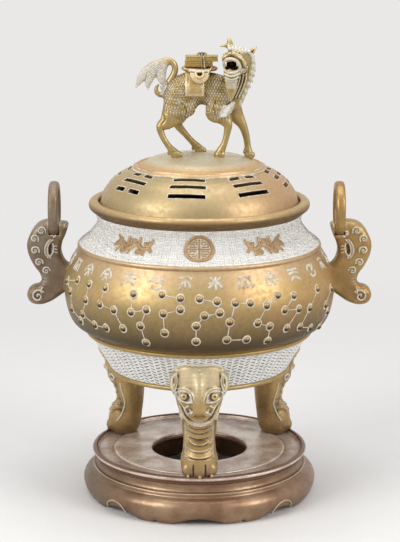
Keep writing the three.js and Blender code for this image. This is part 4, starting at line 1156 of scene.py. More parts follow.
def vent_rims():
    """Thin pale outlines of the slots."""
    heap = Heap()
    for azimuth, height, radius, sideways, half in vents():
        surface = DOME_WALL.patch(azimuth, height)
        lean = math.sin(vent_slope(height, radius))
        path = rounded_box(half + VENT_RIM, VENT_WIDTH / 2 + VENT_RIM, VENT_CORNER)
        path = resample(np.concatenate([path, path[:1]]), 2.0) + [sideways, 0]
        path[:, 1] -= path[:, 0] ** 2 / (2 * radius) * lean
        ribbon(heap, surface, path, 0.7, 0.14)
    heap.piece("lid_slot_edges", CHALK, "cover", "lid")


def lid():
    """The pierced dome with pale edges round its slots and at the foot of its crown."""
    points, faces = turned(resample(lid_profile(), 3.2), 300)
    body = piece("lid_body", points, faces, LID_BRASS, "cover", "lid", ["lid"])
    cut_from(body, vent_cutters())
    vent_rims()
    pale_ring("lid_outer_ring", CROWN_RADIUS + 2.9, CROWN_HEIGHT - 0.7, CHALK, "cover", "lid", 0.75)
    pale_ring("lid_inner_ring", CROWN_RADIUS - 0.9, CROWN_HEIGHT + 0.9, CHALK, "cover", "lid", 0.75)


def pale_ring(name, radius, height, material, body, slot, thick=0.45):
    """A thin pale line all round a turned piece."""
    section = arc((radius, height), thick, 330, 0, 12)
    points, faces = turned(section, 240)
    piece(name, points, faces, material, body, slot)


# Stand
HOLE_RADIUS = 48.5
HOLE_ROUND = 2.6
STEP_RADIUS = 86.8
RIM_WIDTH = 5
WAIST_RADIUS = 104.5
APRON_TOP = 30
APRON_FEET = 8
APRON_TURN = 22.5
# The apron's lower edge from the middle of a foot, 0, to the middle of an arch, 1: where the foot ends and
# where the arch starts, and the heights of the foot, of the step between them and of the arch
FOOT_END, ARCH_START = 0.4, 0.56
FOOT_HEIGHT, STEP_HEIGHT, ARCH_HEIGHT = 0.35, 2.4, 3.3


def stand_plate():
    """The plate, from the hole's rounded edge over the step and the raised rim to its underside."""
    top, rim = PLATE_TOP, PLATE_RIM_TOP
    inner = PLATE_RADIUS - RIM_WIDTH
    profile = chain(
        (HOLE_RADIUS, top - 6), (HOLE_RADIUS, top - HOLE_ROUND),
        arc((HOLE_RADIUS + HOLE_ROUND, top - HOLE_ROUND), HOLE_ROUND, 180, 90, 7),
        smooth([(STEP_RADIUS - 3, top), (STEP_RADIUS, top - 0.3), (STEP_RADIUS + 0.9, top - 1.5)], 7),
        (STEP_RADIUS + 1.6, top - 1.1),
        smooth([(inner - 2, top - 1), (inner - 0.4, top), (inner, rim - 1.6)], 6),
        arc((inner + 1.6, rim - 1.4), 1.4, 165, 90, 5), arc((PLATE_RADIUS - 2.2, rim - 2.4), 2.2, 78, -60, 9),
        (PLATE_RADIUS - 2.4, rim - 5.4), (WAIST_RADIUS + 1.5, top - 4.6), (WAIST_RADIUS + 1.5, top - 6),
    )
    closed = resample(np.concatenate([profile, profile[:1]]), 2.5)[:-1]
    points, faces = turned(closed, 260)
    piece("stand_plate_body", points, faces, PLATE_BRONZE, "stand", "stand", ["stand_plate"])


def apron_edge(azimuth):
    """Height of the apron's lower edge: feet of two small lobes, with an ogee arch between."""
    turn = (azimuth - math.radians(APRON_TURN)) / TURN * APRON_FEET
    t = abs(turn - round(turn)) * 2
    if t < FOOT_END:
        lobe = (t - 0.22) / 0.2
        return 1.8 * max(0, 1 - t / 0.09) + FOOT_HEIGHT * min(lobe * lobe, 1)
    if t < ARCH_START:
        share = (t - FOOT_END) / (ARCH_START - FOOT_END)
        return FOOT_HEIGHT + STEP_HEIGHT * (1 - math.cos(share * math.pi)) / 2
    share = (t - ARCH_START) / (1 - ARCH_START)
    return FOOT_HEIGHT + STEP_HEIGHT + ARCH_HEIGHT * math.sin(share * math.pi / 2)


def apron_section(edge):
    """Section of the waist and the apron, whose lower edge is at a height."""
    bulge = 14
    outer = smooth(
        [
            (109, APRON_TOP - 3), (114.6, APRON_TOP - 6), (118.2, bulge + 5.4), (APRON_RADIUS, bulge),
            (APRON_RADIUS - 1.8, 7 + edge * 0.5), (113.2, edge + 0.5),
        ],
        22,
    )
    return chain(
        (WAIST_RADIUS - 7, PLATE_TOP - 6.3), (WAIST_RADIUS, PLATE_TOP - 6.3),
        smooth(
            [(WAIST_RADIUS, PLATE_TOP - 7), (WAIST_RADIUS - 0.6, 34), (WAIST_RADIUS + 0.6, APRON_TOP + 1)], 7,
        ),
        arc((WAIST_RADIUS + 2.8, APRON_TOP - 1), 1.9, 120, -20, 8), outer,
        (112.2, edge), (106, edge), (105, edge + 1.5),
        (109, bulge), (APRON_RADIUS - 16, APRON_TOP - 5), (WAIST_RADIUS - 7, APRON_TOP - 1),
    )


def stand_apron():
    """Waist and apron in one, with the scalloped edge."""
    steps = 720
    rings = []
    for k in range(steps):
        azimuth = k * TURN / steps
        section = apron_section(apron_edge(azimuth))
        rings.append(polar(np.full(len(section), azimuth), section[:, 0], section[:, 1]))
    points = np.stack(rings, axis=1).reshape(-1, 3)
    faces = grid_faces(len(rings[0]), steps, wrap_rows=True)[:, ::-1]
    piece("stand_apron_body", points, [faces], STAND_BRONZE, "stand", "stand", ["stand_apron"])


def apron_arcs():
    """Raised arcs over the feet at the stand's four quarters."""
    heap = Heap()
    outer = apron_section(0)[16:38][::-1]
    wall = Wall(outer)
    half_wide, tall, sunk = 14, 13, 5.5
    angles = np.linspace(0.1, math.pi - 0.1, 30)
    path = [(half_wide * math.cos(a), tall * math.sin(a) - sunk) for a in angles]
    for azimuth in (45, 135, -135, -45):
        surface = wall.patch(azimuth, 8)
        ribbon(heap, surface, path, 1.3, 0.4, round_top=0.2)
    heap.piece("stand_arcs", PALE_EDGE, "stand", "stand")


def stand():
    """The plate, the apron and their pale lines."""
    stand_plate()
    stand_apron()
    apron_arcs()
    # The pale line on the shoulder is partly worn metal and partly a painted highlight.
    pale_ring("stand_shoulder_line", WAIST_RADIUS + 4, APRON_TOP + 0.3, PALE_EDGE, "stand", "stand")


# Legs. The clay is shaped as the front leg, with x sideways and y inwards; the others are turned copies.
# Rows of shank and mask as (x, y, z, half width, half depth)
SHANK = [
    (0, -85, 137, 21, 16), (0, -86, 118, 19.4, 15.2), (0, -86.6, 104, 17.8, 14.6), (0, -86, 90, 16.6, 13),
    (0, -86.4, 78, 15.3, 12.6), (0, -89.6, 70, 15.8, 14.7), (0, -92.8, 63.5, 17.4, 16.8),
    (0, -94, 56.5, 18, 16), (0, -93, 51, 15, 11.6),
]
MASK = [
    (0, -95, 160.5, 20, 9), (0, -95.5, 155, 23.6, 12), (0, -95.5, 147, 24.6, 14.2), (0, -95, 134, 24.4, 16.8),
    (0, -94.4, 122, 21.8, 17.2), (0, -93.4, 111, 18, 16.4), (0, -91, 103.5, 13.5, 13),
]
FOLD_PITCH = 5.6
FOLDS_LOW, FOLDS_HIGH = 67, 101
EYE_MIDDLE = np.array([14.4, 129.8])
EYE_SLANT = math.radians(26)


def on_face(clay, path, count=15):
    """Points on the face of a leg along a smooth curve through [x, z] points."""
    path = smooth(path, count) if len(path) > 2 else np.linspace(*np.asarray(path, float), count)
    return clay.facing(1, -1, path)


def leg_brow(clay):
    """Forehead plate with its beaded upper edge, and a line of specks down its middle."""
    half = [(22.8, 139), (23.6, 148), (22.4, 155.6), (17, 160.2)]
    edge = [(-x, z) for x, z in half] + [(0, 161)] + half[::-1]
    clay.line(on_face(clay, edge, 30), 1.5, 1.0, raised=True, filled=0.7)
    for k in range(7):
        x, z = 0.9 * math.sin(2.4 * k), 156 - 3.2 * k
        speck = on_face(clay, [(x, z), (x + 0.4, z)], 2)
        clay.line(speck, 0.65, 0.3, raised=True, filled=0.9)


def leg_ear(clay, side):
    """A flat ear beside the brow, hollow in front, with a pale rim."""
    ear = [
        (side * 22.4, -98, 152, 2.6, 5), (side * 24.8, -100.5, 147, 3.4, 6.5),
        (side * 25.4, -101, 139.5, 3.4, 6.5), (side * 23.6, -101, 132.5, 2.2, 4.5),
    ]
    clay.strand(ear, (0, 1, 0), blend=1.5, count=12)
    rim = [(22.4, 152), (25.6, 149), (26.6, 141.5), (24.4, 134), (22.6, 137.5), (21.6, 145.5), (22.4, 152)]
    clay.line(on_face(clay, [(side * x, z) for x, z in rim], 20), 0.9, 0.4, raised=True, filled=0.95)
    hollow = on_face(clay, [(side * 24.2, 145), (side * 24.2, 144)], 2)[0]
    clay.ball(hollow + [0, -0.6, 0], (1.5, 2.4, 4.6), 0.6, cut=True)


def leg_eye(clay, side):
    """An almond eye that slants down towards the nose, under a brow."""
    inward = np.array([-math.cos(EYE_SLANT), -math.sin(EYE_SLANT)])
    upward = np.array([-math.sin(EYE_SLANT), math.cos(EYE_SLANT)])

    def slanted(*points):
        """Points given along the eye and upwards from its middle, as [x, z]."""
        return [(EYE_MIDDLE + x * inward + z * upward) * [side, 1] for x, z in points]

    socket = on_face(clay, slanted((0, 0), (0.1, 0)), 2)[0]
    clay.ball(socket + [0, -0.6, 0], (6.8, 2.4, 5), 1.0, cut=True)
    clay.ball(socket + [side * 0.4, 1.2, 0.2], (4.2, 3.8, 4.1), 0.3)
    lids = slanted(
        (9, -0.6), (4, 4.6), (-1, 5.4), (-6, 2.4), (-8.8, -1.4), (-4, -4.6), (1.4, -5.2), (5.6, -3.6),
        (9, -0.6),
    )
    clay.line(on_face(clay, lids, 30), 1.1, 0.5, raised=True, filled=0.95)
    pupil = on_face(clay, slanted((-0.6, 0), (-0.5, 0)), 2)[0]
    clay.ball(pupil, 1.4, 0.2, cut=True)
    brow = slanted((-9, 2.6), (-4.5, 7.2), (1.5, 8.2), (7, 6.2), (10.2, 2))
    clay.line(on_face(clay, brow, 18), [0.4] + [1.3] * 16 + [0.4], 0.9, raised=True, filled=0.3)

    def white(x, y, z):
        """The eye's white, inside the lids and outside the ball, on the front of the leg only."""
        flat = np.stack([x * side, z], axis=-1) - EYE_MIDDLE
        along, up = flat @ inward, flat @ upward
        almond = np.hypot(along / 8.6, up / 5.2)
        ball = np.hypot(along, up) / 4.2
        return 0.8 * np.clip((1 - almond) / 0.1, 0, 1) * np.clip((ball - 1) / 0.12, 0, 1) * (y < -92)

    clay.chalked.append(white)


def leg_nose(clay):
    """The bridge, the tip and the nostrils with their curled wings."""
    bridge = [
        (0, -107.5, 149, 4.4, 3), (0, -110, 138, 5.4, 5), (0, -110.4, 127, 6.6, 6.6), (0, -109, 118, 7.4, 7),
    ]
    clay.strand(bridge, (0, 1, 0), blend=3.4, count=12)
    clay.ball((0, -112.6, 116.4), (6, 4, 4.2), 2)
    for side in (-1, 1):
        clay.ball((side * 6.6, -111.6, 114.2), (3.6, 3.4, 3.1), 1.2)
        clay.ball((side * 7.8, -114.6, 113.2), (1.7, 2.2, 1.5), 0.4, cut=True)
        wing = spiral(4.8, 0.9, 80 if side > 0 else 100, -side, 16, 0.3) + (side * 9.8, 115.8)
        clay.line(clay.facing(1, -1, wing), 0.9, 0.4, raised=True, filled=0.95)


def leg_mouth(clay):
    """Upper lip, the dark line of the mouth over a pale one, the cheeks' folds and curls."""
    lip = [(15, -99, 110.5, 2.4, 2), (8, -105, 106.8, 3.2, 2.6)]
    mirrored = [(-x, *rest) for x, *rest in lip]
    clay.strand(mirrored + [(0, -106.6, 105.6, 3.4, 3)] + lip[::-1], (0, 1, 0), blend=2, count=13)
    smile = [(0, 102.6), (6, 103.6), (10.8, 107), (14.6, 112.4), (17.8, 120)]
    chin = [(0, 99.6), (6.4, 100.8), (11.6, 104.4), (15.8, 110.4), (19, 118)]
    smile_radius = 0.9 + 0.9 * np.sin(np.linspace(0, math.pi, 31))
    for half, radius, raised, filled in ((smile, smile_radius, False, 0), (chin, 1.1, True, 0.75)):
        path = [(-x, z) for x, z in half[:0:-1]] + half
        clay.line(on_face(clay, path, 31), radius, 0.6, raised=raised, filled=filled)
    clay.paint(on_face(clay, [(-9, 103.4), (-4, 102.4), (0, 102.2), (4, 102.4), (9, 103.4)], 15), 1.3, 0.75)
    fold = np.array([(22, 132), (20.6, 126.5), (16.8, 121.4), (13.6, 116), (11, 110.6)])
    for side in (-1, 1):
        clay.line(on_face(clay, fold * [side, 1], 16), 0.9, 0.6, raised=True, filled=0.7)
        curl = arc((-97.5, 107.5), 3.3, 0, 360, 20)
        clay.line(clay.facing(0, side, curl), 1.1, 0.4, raised=True, filled=1)


def fold_place(x, z):
    """Place of a point of the neck among its folds, which hang lower in the middle."""
    hang = np.interp(z, [FOLDS_LOW, FOLDS_HIGH], [2.5, 9])
    return (z - hang * (np.abs(x) / 15) ** 2.2 - FOLDS_LOW) / FOLD_PITCH


def leg_neck(clay):
    """Overlapping folds round the front of the leg, bounded by a pale line on each side."""

    def folded(x, y, z):
        """Where the neck has folds, from 0 to 1."""
        ends = np.clip((z - FOLDS_LOW + 2) / 2, 0, 1) * np.clip((FOLDS_HIGH + 2 - z) / 2, 0, 1)
        return ends * np.clip((-83 - y) / 3, 0, 1) * np.clip((15.4 - np.abs(x)) / 1.5, 0, 1)

    def height_at(x, y, z):
        """Each fold rises at its lower edge and sinks under the next."""
        place = fold_place(x, z)
        share = place - np.floor(place)
        return folded(x, y, z) * 1.7 * np.minimum(share / 0.14, 1) * (1 - 0.8 * share)

    def filled_at(x, y, z):
        """Filling lies under each fold, mostly at the sides."""
        place = fold_place(x, z)
        share = place - np.floor(place)
        sides = np.clip((np.abs(x) - 8) / 3, 0.12, 0.85)
        return folded(x, y, z) * sides * np.clip((share - 0.8) / 0.06, 0, 1)

    clay.emboss((-18, -116, FOLDS_LOW - 4), (18, -78, FOLDS_HIGH + 4), height_at, filled_at)
    side_line = [
        (-87, 102), (-85.9, 95), (-83.4, 86), (-82.7, 80.5), (-84.6, 74), (-87.4, 66.5), (-91, 61),
    ]
    for side in (-1, 1):
        clay.line(clay.facing(0, side, smooth(side_line, 26)), 0.8, 0.6, raised=True, filled=0.85)


def leg_paw(clay):
    """Three toes with claws, under a groove."""
    groove = [(-14, 67), (-7, 66.4), (0, 66.2), (7, 66.4), (14, 67)]
    clay.line(on_face(clay, groove, 17), 0.8, 0.6, filled=0.1)
    for x, wide in ((-11.4, 6), (0.2, 6.6), (11.8, 6)):
        out = -94 - math.sqrt(1 - (x / 19) ** 2) * 14.2
        clay.ball((x, out + 3.2, 54), (wide, 5.8, 7), 1.4)
        clay.ball((x + 0.4, out - 1, 48.6), (1.7, 1.6, 2), 0.6)
        clay.paint([(x + 0.4, out - 1.6, 49), (x + 0.4, out - 1.6, 48)], 1.2, 0.25)
    for x in (-5.8, 6.2):
        clay.line(on_face(clay, [(x, 60.5), (x * 1.04, 55), (x * 1.02, 48.5)], 12), 1.0, 0.8)


def leg_clay():
    """The whole leg, from the mask down to the paw."""
    clay = Clay((-34, -118, 44), (34, -58, 166), 0.55)
    clay.strand(SHANK, (0, 1, 0), blend=3, count=24)
    clay.strand(MASK, (0, 1, 0), blend=3, count=20)
    leg_neck(clay)
    leg_brow(clay)
    leg_nose(clay)
    leg_mouth(clay)
    for side in (-1, 1):
        leg_ear(clay, side)
        leg_eye(clay, side)
    leg_paw(clay)
    trim_leg(clay)
    return clay


def trim_leg(clay):
    """Takes off what lies inside the bowl or below the plate."""
    outside = BAND_WALL.line
    sunk, gap = 1.0, 0.1

    def beyond(x, y, z):
        """Above 0 inside the bowl and below the plate's top."""
        face = np.interp(z, outside[:, 1], outside[:, 0], left=outside[0][0] - 1)
        bowl_side = np.maximum(np.sqrt(x * x + y * y) - (face - sunk), BASE_HEIGHT - gap - z)
        return np.maximum(-bowl_side, PLATE_TOP + gap - z + 0 * x)

    clay.keep(beyond)


def legs():
    """Three copies of the leg."""
    shaped = leg_clay().mesh()
    for place, angle in LEG_ANGLES.items():
        sculpture(f"leg_{place}_cast", shaped, LEG_BRASS, "vessel", "legs", [f"leg_{place}"], angle + 90)


# Handles: elephants' heads with curled trunks, each with a slot at the top that holds a ring
RING_HEIGHT = 294
RING_RADIUS = 27.4
RING_BAR = 7.8
RING_WIDTH = 9.6
RING_PLACES = {"right": BELLY_RADIUS + 4.2, "left": BELLY_RADIUS + 9}
# The head in profile as (past the belly, height): over the brow and down the trunk, and the inner side
HANDLE_OUTER = [
    (-2.7, 280), (3.3, 280.6), (13.8, 282.4), (24.5, 279.6), (31.8, 271.5), (36.4, 260), (35.6, 250),
    (32.6, 242), (28.4, 234.6), (24.4, 229), (22.6, 222.4), (25.4, 217), (32, 215), (36.6, 210.6),
    (37.4, 204.6), (33.6, 198.4), (24.8, 196.4), (13.8, 199.6), (4, 206), (-2.2, 210.5),
]
HANDLE_INNER = [
    (-6.6, 236.4), (-2.6, 238.6), (1.2, 244), (3, 252), (1.2, 261), (-2.6, 269.6), (-4.9, 277.5),
]


def handle_outline():
    """The head's closed outline as [past the belly, height]."""
    return chain(smooth(HANDLE_OUTER, 90), (-6.6, 213), smooth(HANDLE_INNER, 30))


def flat_distance(outline, x, z):
    """Distance to a closed outline, negative inside, over a grid of x and z."""
    best = np.full(np.broadcast_shapes(x.shape, z.shape), np.inf, np.float32)
    inside = np.zeros(best.shape, bool)
    for (xa, za), (xb, zb) in zip(outline, np.roll(outline, -1, axis=0)):
        dx, dz = xb - xa, zb - za
        t = np.clip(((x - xa) * dx + (z - za) * dz) / max(dx * dx + dz * dz, TINY), 0, 1)
        best = np.minimum(best, np.hypot(x - xa - t * dx, z - za - t * dz))
        if za != zb:
            crossing = (z >= min(za, zb)) & (z < max(za, zb))
            inside ^= crossing & (x < xa + (z - za) * dx / dz)
    return np.where(inside, -best, best)


# Curls on a handle's cheek as (past the belly, height, radius, where the curl starts, how far it is open)
HANDLE_CURLS = [
    (21.2, 273.4, 4.5, 200), (28.4, 265.4, 4.4, 215), (28.2, 253.4, 4.6, 200), (24.6, 241.2, 4.3, 190),
    (17.4, 232.6, 4.2, 175), (10.2, 270.6, 3.6, 250),
]
TRUNK_CURL = (26, 206, 6.8, 140)


def handle_clay(ring_place):
    """The head as a soft-edged plate of varying thickness, carved on both sides."""
    clay = Clay((-8, -15, 192), (40, 15, 286), 0.5)
    outline = handle_outline()
    where, (x, y, z) = clay.window(clay.low, (41, 16, 287))
    flat = flat_distance(outline, x[:, 0], z[0])[:, None, :]
    half = np.interp(z, [196, 214, 236, 262, 284], [11.2, 10.6, 12, 13, 12.6])
    soft = 6.0
    deep, wide = flat + soft, np.abs(y) - (half - soft)
    inner = np.minimum(np.maximum(deep, wide), 0)
    clay.field[where] = np.hypot(np.maximum(deep, 0), np.maximum(wide, 0)) + inner - soft
    for face in (-1, 1):
        handle_cheek(clay, face)
    trim_handle(clay, ring_place)
    return clay


def handle_cheek(clay, face):
    """Curls, eye and ear folds on one side of the head."""

    def on(path):
        """The path on this side of the head."""
        return clay.facing(1, face, path)

    for x, z, radius, start in HANDLE_CURLS:
        curl = spiral(radius, 1.3, start, -1, 22, 0.16) + (x, z)
        clay.line(on(curl), 0.75, 0.5, raised=True, filled=1)
        clay.line(on([(x, z), (x + 0.1, z)]), 1.1, 0.4, raised=True)
    x, z, radius, start = TRUNK_CURL
    curl = spiral(radius, 1.35, start, -1, 28, 0.12) + (x, z)
    clay.line(on(curl), 0.8, 0.5, raised=True, filled=1)
    lash = smooth([(14.8, 245.6), (17.6, 250.2), (17.8, 256), (15.6, 261.2), (12.4, 264.4)], 14)
    for shift, filled in ((0, 0.95), (-2.4, 0.8)):
        clay.line(on(lash + [shift, 0]), 0.75, 0.4, raised=True, filled=filled)
    pupil = smooth([(12.8, 250.6), (13.2, 254.6), (12, 258.6)], 8)
    clay.line(on(pupil), 1.3, 0.4)
    lower = smooth([(12.6, 247.6), (10.4, 251.4), (9.4, 256), (10, 260.4)], 10)
    clay.line(on(lower), 0.7, 0.4, raised=True, filled=0.9)
    for k in range(3):
        start = np.array([9.6, 252.6 + 2.6 * k])
        wrinkle = np.linspace(start, start + [-3.6, -1.6 + 0.9 * k], 6)
        clay.line(on(wrinkle), 0.55, 0.3, raised=True, filled=0.9)
    clay.line(on(smooth([(21.6, 214.6), (23, 211.8), (22.4, 209)], 6)), 0.6, 0.3, raised=True, filled=0.9)
    for k in range(4):
        z = 218.6 + 3.2 * k
        fold = smooth([(21.6 + 0.3 * k, z + 1.6), (18.8, z), (15.6, z + 0.6)], 8)
        clay.line(on(fold), 0.5, 0.5, filled=0.25)


def trim_handle(clay, ring_place):
    """Opens the ring's slot and takes off what lies inside the bowl."""
    sunk, gap = 1.0, 0.35
    centre = ring_place - BELLY_RADIUS
    floor_height = RING_HEIGHT - RING_RADIUS + RING_BAR / 2
    wall = BELLY_WALL.line

    def beyond(x, y, z):
        """Above 0 inside the bowl and in the slot and channel of the ring."""
        beside = np.abs(x - centre) - RING_WIDTH / 2 - gap
        slot = np.maximum(beside, floor_height - z) + 0 * y
        across = np.hypot(y, z - RING_HEIGHT) - (RING_RADIUS - RING_BAR / 2)
        channel = np.maximum(beside, np.abs(across) - RING_BAR / 2 - gap)
        face = np.interp(z, wall[:, 1], wall[:, 0]) - sunk
        return np.maximum(-np.minimum(slot, channel), face - np.hypot(x + BELLY_RADIUS, y))

    clay.keep(beyond)


def handles():
    """Both heads and their rings; the left ones are browner."""
    for side, sign, material in (("right", 1, BRIGHT_BRASS), ("left", -1, BROWN_BRASS)):
        shaped = handle_clay(RING_PLACES[side]).mesh()
        node = f"handle_{side}"
        shift = (BELLY_RADIUS, 0, 0)
        sculpture(f"{node}_cast", shaped, material, "vessel", node, [node], shift=shift, mirror=sign < 0)
        ring(side, sign, material)


def ring(side, sign, material):
    """A cast ring with a flattened section."""
    steps, around = 140, 28
    angle = np.arange(around) * TURN / around
    power = 0.72
    thick = RING_BAR / 2 * np.sign(np.cos(angle)) * np.abs(np.cos(angle)) ** power
    wide = RING_WIDTH / 2 * np.sign(np.sin(angle)) * np.abs(np.sin(angle)) ** power
    turn = np.arange(steps) * TURN / steps
    t, r = np.meshgrid(turn, RING_RADIUS - RING_BAR / 2 + thick, indexing="ij")
    points = np.column_stack([
        sign * RING_PLACES[side] + np.tile(wide, steps),
        (r * np.sin(t)).ravel(),
        RING_HEIGHT + (r * np.cos(t)).ravel(),
    ])
    faces = grid_faces(steps, around, wrap_rows=True)
    piece(f"ring_{side}_cast", points, [faces], material, "vessel", "rings", [f"handle_ring_{side}"])


# Beast on the lid. Its clay is shaped with z as the height over the top of the crown.
def crown_height(radius):
    """Height of the crown's face over its top, below zero."""
    return np.interp(-radius, -CROWN_LINE[:, 0], CROWN_LINE[:, 1]) - CROWN_TOP


# Rows of the torso, rump to chest, as (x, y, z, half width, half height), and those of the legs from the top
# down as (x, y, z, half width, half length): near rear, far rear, near fore and far fore
TORSO = [
    (-27, 0, 56, 7, 9), (-24.4, 0, 57.6, 10.4, 13), (-20, 0, 60, 13, 15.6), (-9, 0, 64.6, 13.4, 16.6),
    (6, 0, 64.8, 13.2, 16.4), (18, 0, 61.6, 13.6, 17), (25, 0, 57.4, 13, 16.8), (30.4, 0, 54, 10, 12.4),
    (33, 0, 53, 6, 8),
]
BEAST_LEGS = [
    [(-22, -7, 57, 8, 12), (-25, -9.6, 43, 7.2, 11.6), (-31.5, -11.4, 33, 5.2, 7.6),
     (-38.2, -12.4, 28.5, 3.9, 4.3), (-36.2, -13.4, 19, 2.9, 3), (-29.5, -14.4, 8.5, 2.9, 3.1),
     (-26.5, -14.9, 5, 3.5, 3.9), (-22.4, -15, 0.4, 4, 5)],
    [(-18, 7, 54, 8, 11), (-19, 10, 38, 6.3, 7.8), (-21.5, 11.6, 28, 4, 4.7), (-14, 13, 17.5, 3, 3.2),
     (-6.5, 14, 9, 3, 3.2), (-2.8, 14.7, 5, 3.6, 4), (1.4, 15, 0.2, 4.2, 5)],
    [(21, -7, 55, 7.5, 13), (20.5, -9.6, 44, 6.4, 11.6), (24.5, -11, 36.5, 4.8, 7.2),
     (28.2, -11.6, 30.5, 4, 4.6), (27.6, -12.2, 23, 3, 3.4), (24.8, -12.7, 12, 2.9, 3.1),
     (22.4, -12.9, 6.5, 3.4, 3.8), (19.4, -13, 0.4, 4, 5)],
    [(31, 6.4, 50, 7, 10), (36, 8.2, 38, 5.2, 7.8), (43, 9, 27, 4, 4.6), (46.8, 9, 16, 3, 3.5),
     (48.4, 9, 6, 3, 3.3), (48.8, 9, 2, 3.6, 3.8), (50, 9, -3.6, 4.4, 4.8)],
]
HOOF_SUNK = 0.4
# Balls that swell the thighs, the shoulders and the belly between them, as (middle, half sizes)
MUSCLES = [
    ((-23.4, 8.4, 48.5), (8.6, 6.2, 12)), ((-14, 7.5, 44), (10, 6.6, 7)),
    ((-7, 6, 51), (6, 6, 5.2)), ((-21, 9.2, 38.5), (7.5, 6, 7.5)),
    ((22.6, 8.4, 50), (8.4, 5.8, 11.6)), ((15, 8.6, 41.5), (8.2, 5.8, 8.6)),
]
SCALE_LENGTH, SCALE_WIDTH = 2.8, 2.6
SCALE_DEPTH = 0.5
# How dark the rims of the scales are made, with dirt and painted shade.
SCALE_DIRT_AND_SHADE = 0.13
TORSO_MIDDLE = 60
TORSO_GIRTH_RADIUS = 14


def scale_relief(x, y, z):
    """The rims of rows of round scales, from 0 to 1."""
    across = x / SCALE_LENGTH
    around = np.arctan2(z - TORSO_MIDDLE, -y) * TORSO_GIRTH_RADIUS / SCALE_WIDTH
    row = np.floor(around)
    u = across + 0.5 * (row % 2)
    u = u - np.floor(u) - 0.5
    v = around - row - 0.5
    ring = np.hypot(u, v * 0.9)
    return np.clip(1 - np.abs(ring - 0.42) / 0.15, 0, 1)


def scaled_part(x, z):
    """Where the coat is scaled: the body and the tops of the legs."""
    lower = 36 + 6 * np.sin(x * 0.16 + 1.2)
    return np.clip((z - lower) / 5, 0, 1) * np.clip((47 - x) / 4, 0, 1) * np.clip((x + 39) / 3, 0, 1)


def scale_height(x, y, z):
    """The rims of the scales are sunk."""
    return -SCALE_DEPTH * scale_relief(x, y, z) * scaled_part(x, z)


def scale_dirt_and_shade(x, y, z):
    """The rims of the scales are dark with dirt and painted shade."""
    return SCALE_DIRT_AND_SHADE * scale_relief(x, y, z) * scaled_part(x, z)


def scale_filling(x, y, z):
    """Pale filling left on the scales in cloudy patches."""
    cloud = np.clip(0.35 + 0.6 * np.sin(x * 0.33 + z * 0.21) * np.sin(z * 0.4 - x * 0.1), 0, 1)
    return 0.5 * (1 - scale_relief(x, y, z)) * scaled_part(x, z) * cloud


def above_crown(x, y, z):
    """Above 0 below the face on which the beast stands."""
    return crown_height(np.hypot(x, y)) - HOOF_SUNK - z


def beast_body_clay():
    """Torso, four legs, the hook of hair behind and the tuft on the chest."""
    clay = Clay((-47, -21, -9), (58, 21, 86), 0.42)
    clay.strand(TORSO, (0, 0, 1), blend=2, count=30)
    for rows in BEAST_LEGS:
        clay.strand(rows, (1, 0, 0), blend=3.2, count=26)
        hoof(clay, rows[-1], rows[-2])
    for side in (-1, 1):
        for (x, y, z), radii in MUSCLES:
            clay.ball((x, side * y, z), radii, 4)
    rump_curl(clay)
    rib_lines(clay)
    clay.emboss((-40, -20, 30), (48, 20, 82), scale_height, scale_filling, scale_dirt_and_shade)
    chest_tuft(clay)
    clay.keep(above_crown)
    return clay


def hoof(clay, sole, pastern):
    """A cloven hoof under the fetlock's tuft."""
    x, y, z = sole[:3]
    for side in (-1, 1):
        clay.ball((x + 1.2, y + side * 2.1, z + 0.6), (4.6, 2.3, 3.6), 0.8)
    clay.strand([(x + 6, y, z + 3, 0.5, 0.5), (x + 4.4, y, z - 1.5, 0.6, 0.6)], (1, 0, 0), 0.4, cut=True)
    back = np.array(pastern[:3]) + [-2.6, 0, 0]
    for k in range(3):
        tip = back + [-2.2 + 0.6 * k, 0, -2.6 - 0.9 * k]
        clay.strand([(*back, 1.6, 1.4), (*tip, 0.5, 0.5)], (0, 1, 0), 0.6)
    angles = np.linspace(0, TURN, 18)
    ring = [(x + 4.5 * math.cos(a), y + 4.1 * math.sin(a), z + 3.4 - 0.5 * math.cos(a)) for a in angles]
    clay.line(ring, 0.5, 0.4, filled=0.5)


def rump_curl(clay):
    """The hook of hair behind the rump."""
    hook = [
        (-32, 0, 60, 4, 4), (-38.4, 0, 58.4, 2.6, 2.8), (-42, 0, 60.6, 2.2, 2.4), (-42.4, 0, 65, 1.8, 1.9),
        (-40.2, 0, 68.2, 0.9, 0.9),
    ]
    clay.strand(hook, (0, 1, 0), blend=1.4, count=20)
    for x in (-38, -36.4, -34.8):
        lock = [(x, 0, 66 + (x + 38) * 1.6, 0.8, 2), (x + 1.6, 0, 61 + (x + 38) * 1.2, 1.2, 4)]
        clay.strand(lock, (0, 1, 0), 0.8)
        clay.paint(np.array(lock)[:, :3] + [0, -3, 0], 2.4, 0.8)


def rib_lines(clay):
    """Folds where the legs join the body."""
    folds = [
        [(-17, 52), (-13, 46), (-12.6, 38)], [(15.6, 53), (14.6, 46), (16.6, 38.6)],
        [(33, 54), (34.4, 47), (32.4, 40)], [(-35.4, 40), (-34, 36), (-36.6, 31.4)],
    ]
    for fold in folds:
        for face in (-1, 1):
            clay.line(clay.facing(1, face, smooth(fold, 12)), 0.5, 1.4)


def chest_tuft(clay):
    """A pale tuft of hair between the chest and the near foreleg."""
    for k in range(6):
        root = np.array([33.4 - 0.6 * k, -14.4 - 0.3 * k, 52 - 1.5 * k])
        tip = root + [-8.6 - 0.4 * k, -1.6, -3.4 - 0.5 * k]
        middle = (root + tip) / 2 + [0, -1.6, -1.4]
        rows = [(*root, 2.0, 1.8), (*middle, 1.8, 1.4), (*tip, 0.5, 0.5)]
        clay.strand(rows, (0, 1, 0), 0.7, count=8)
        clay.paint([root, middle, tip], [2.0, 1.9, 1.4], 0.95)


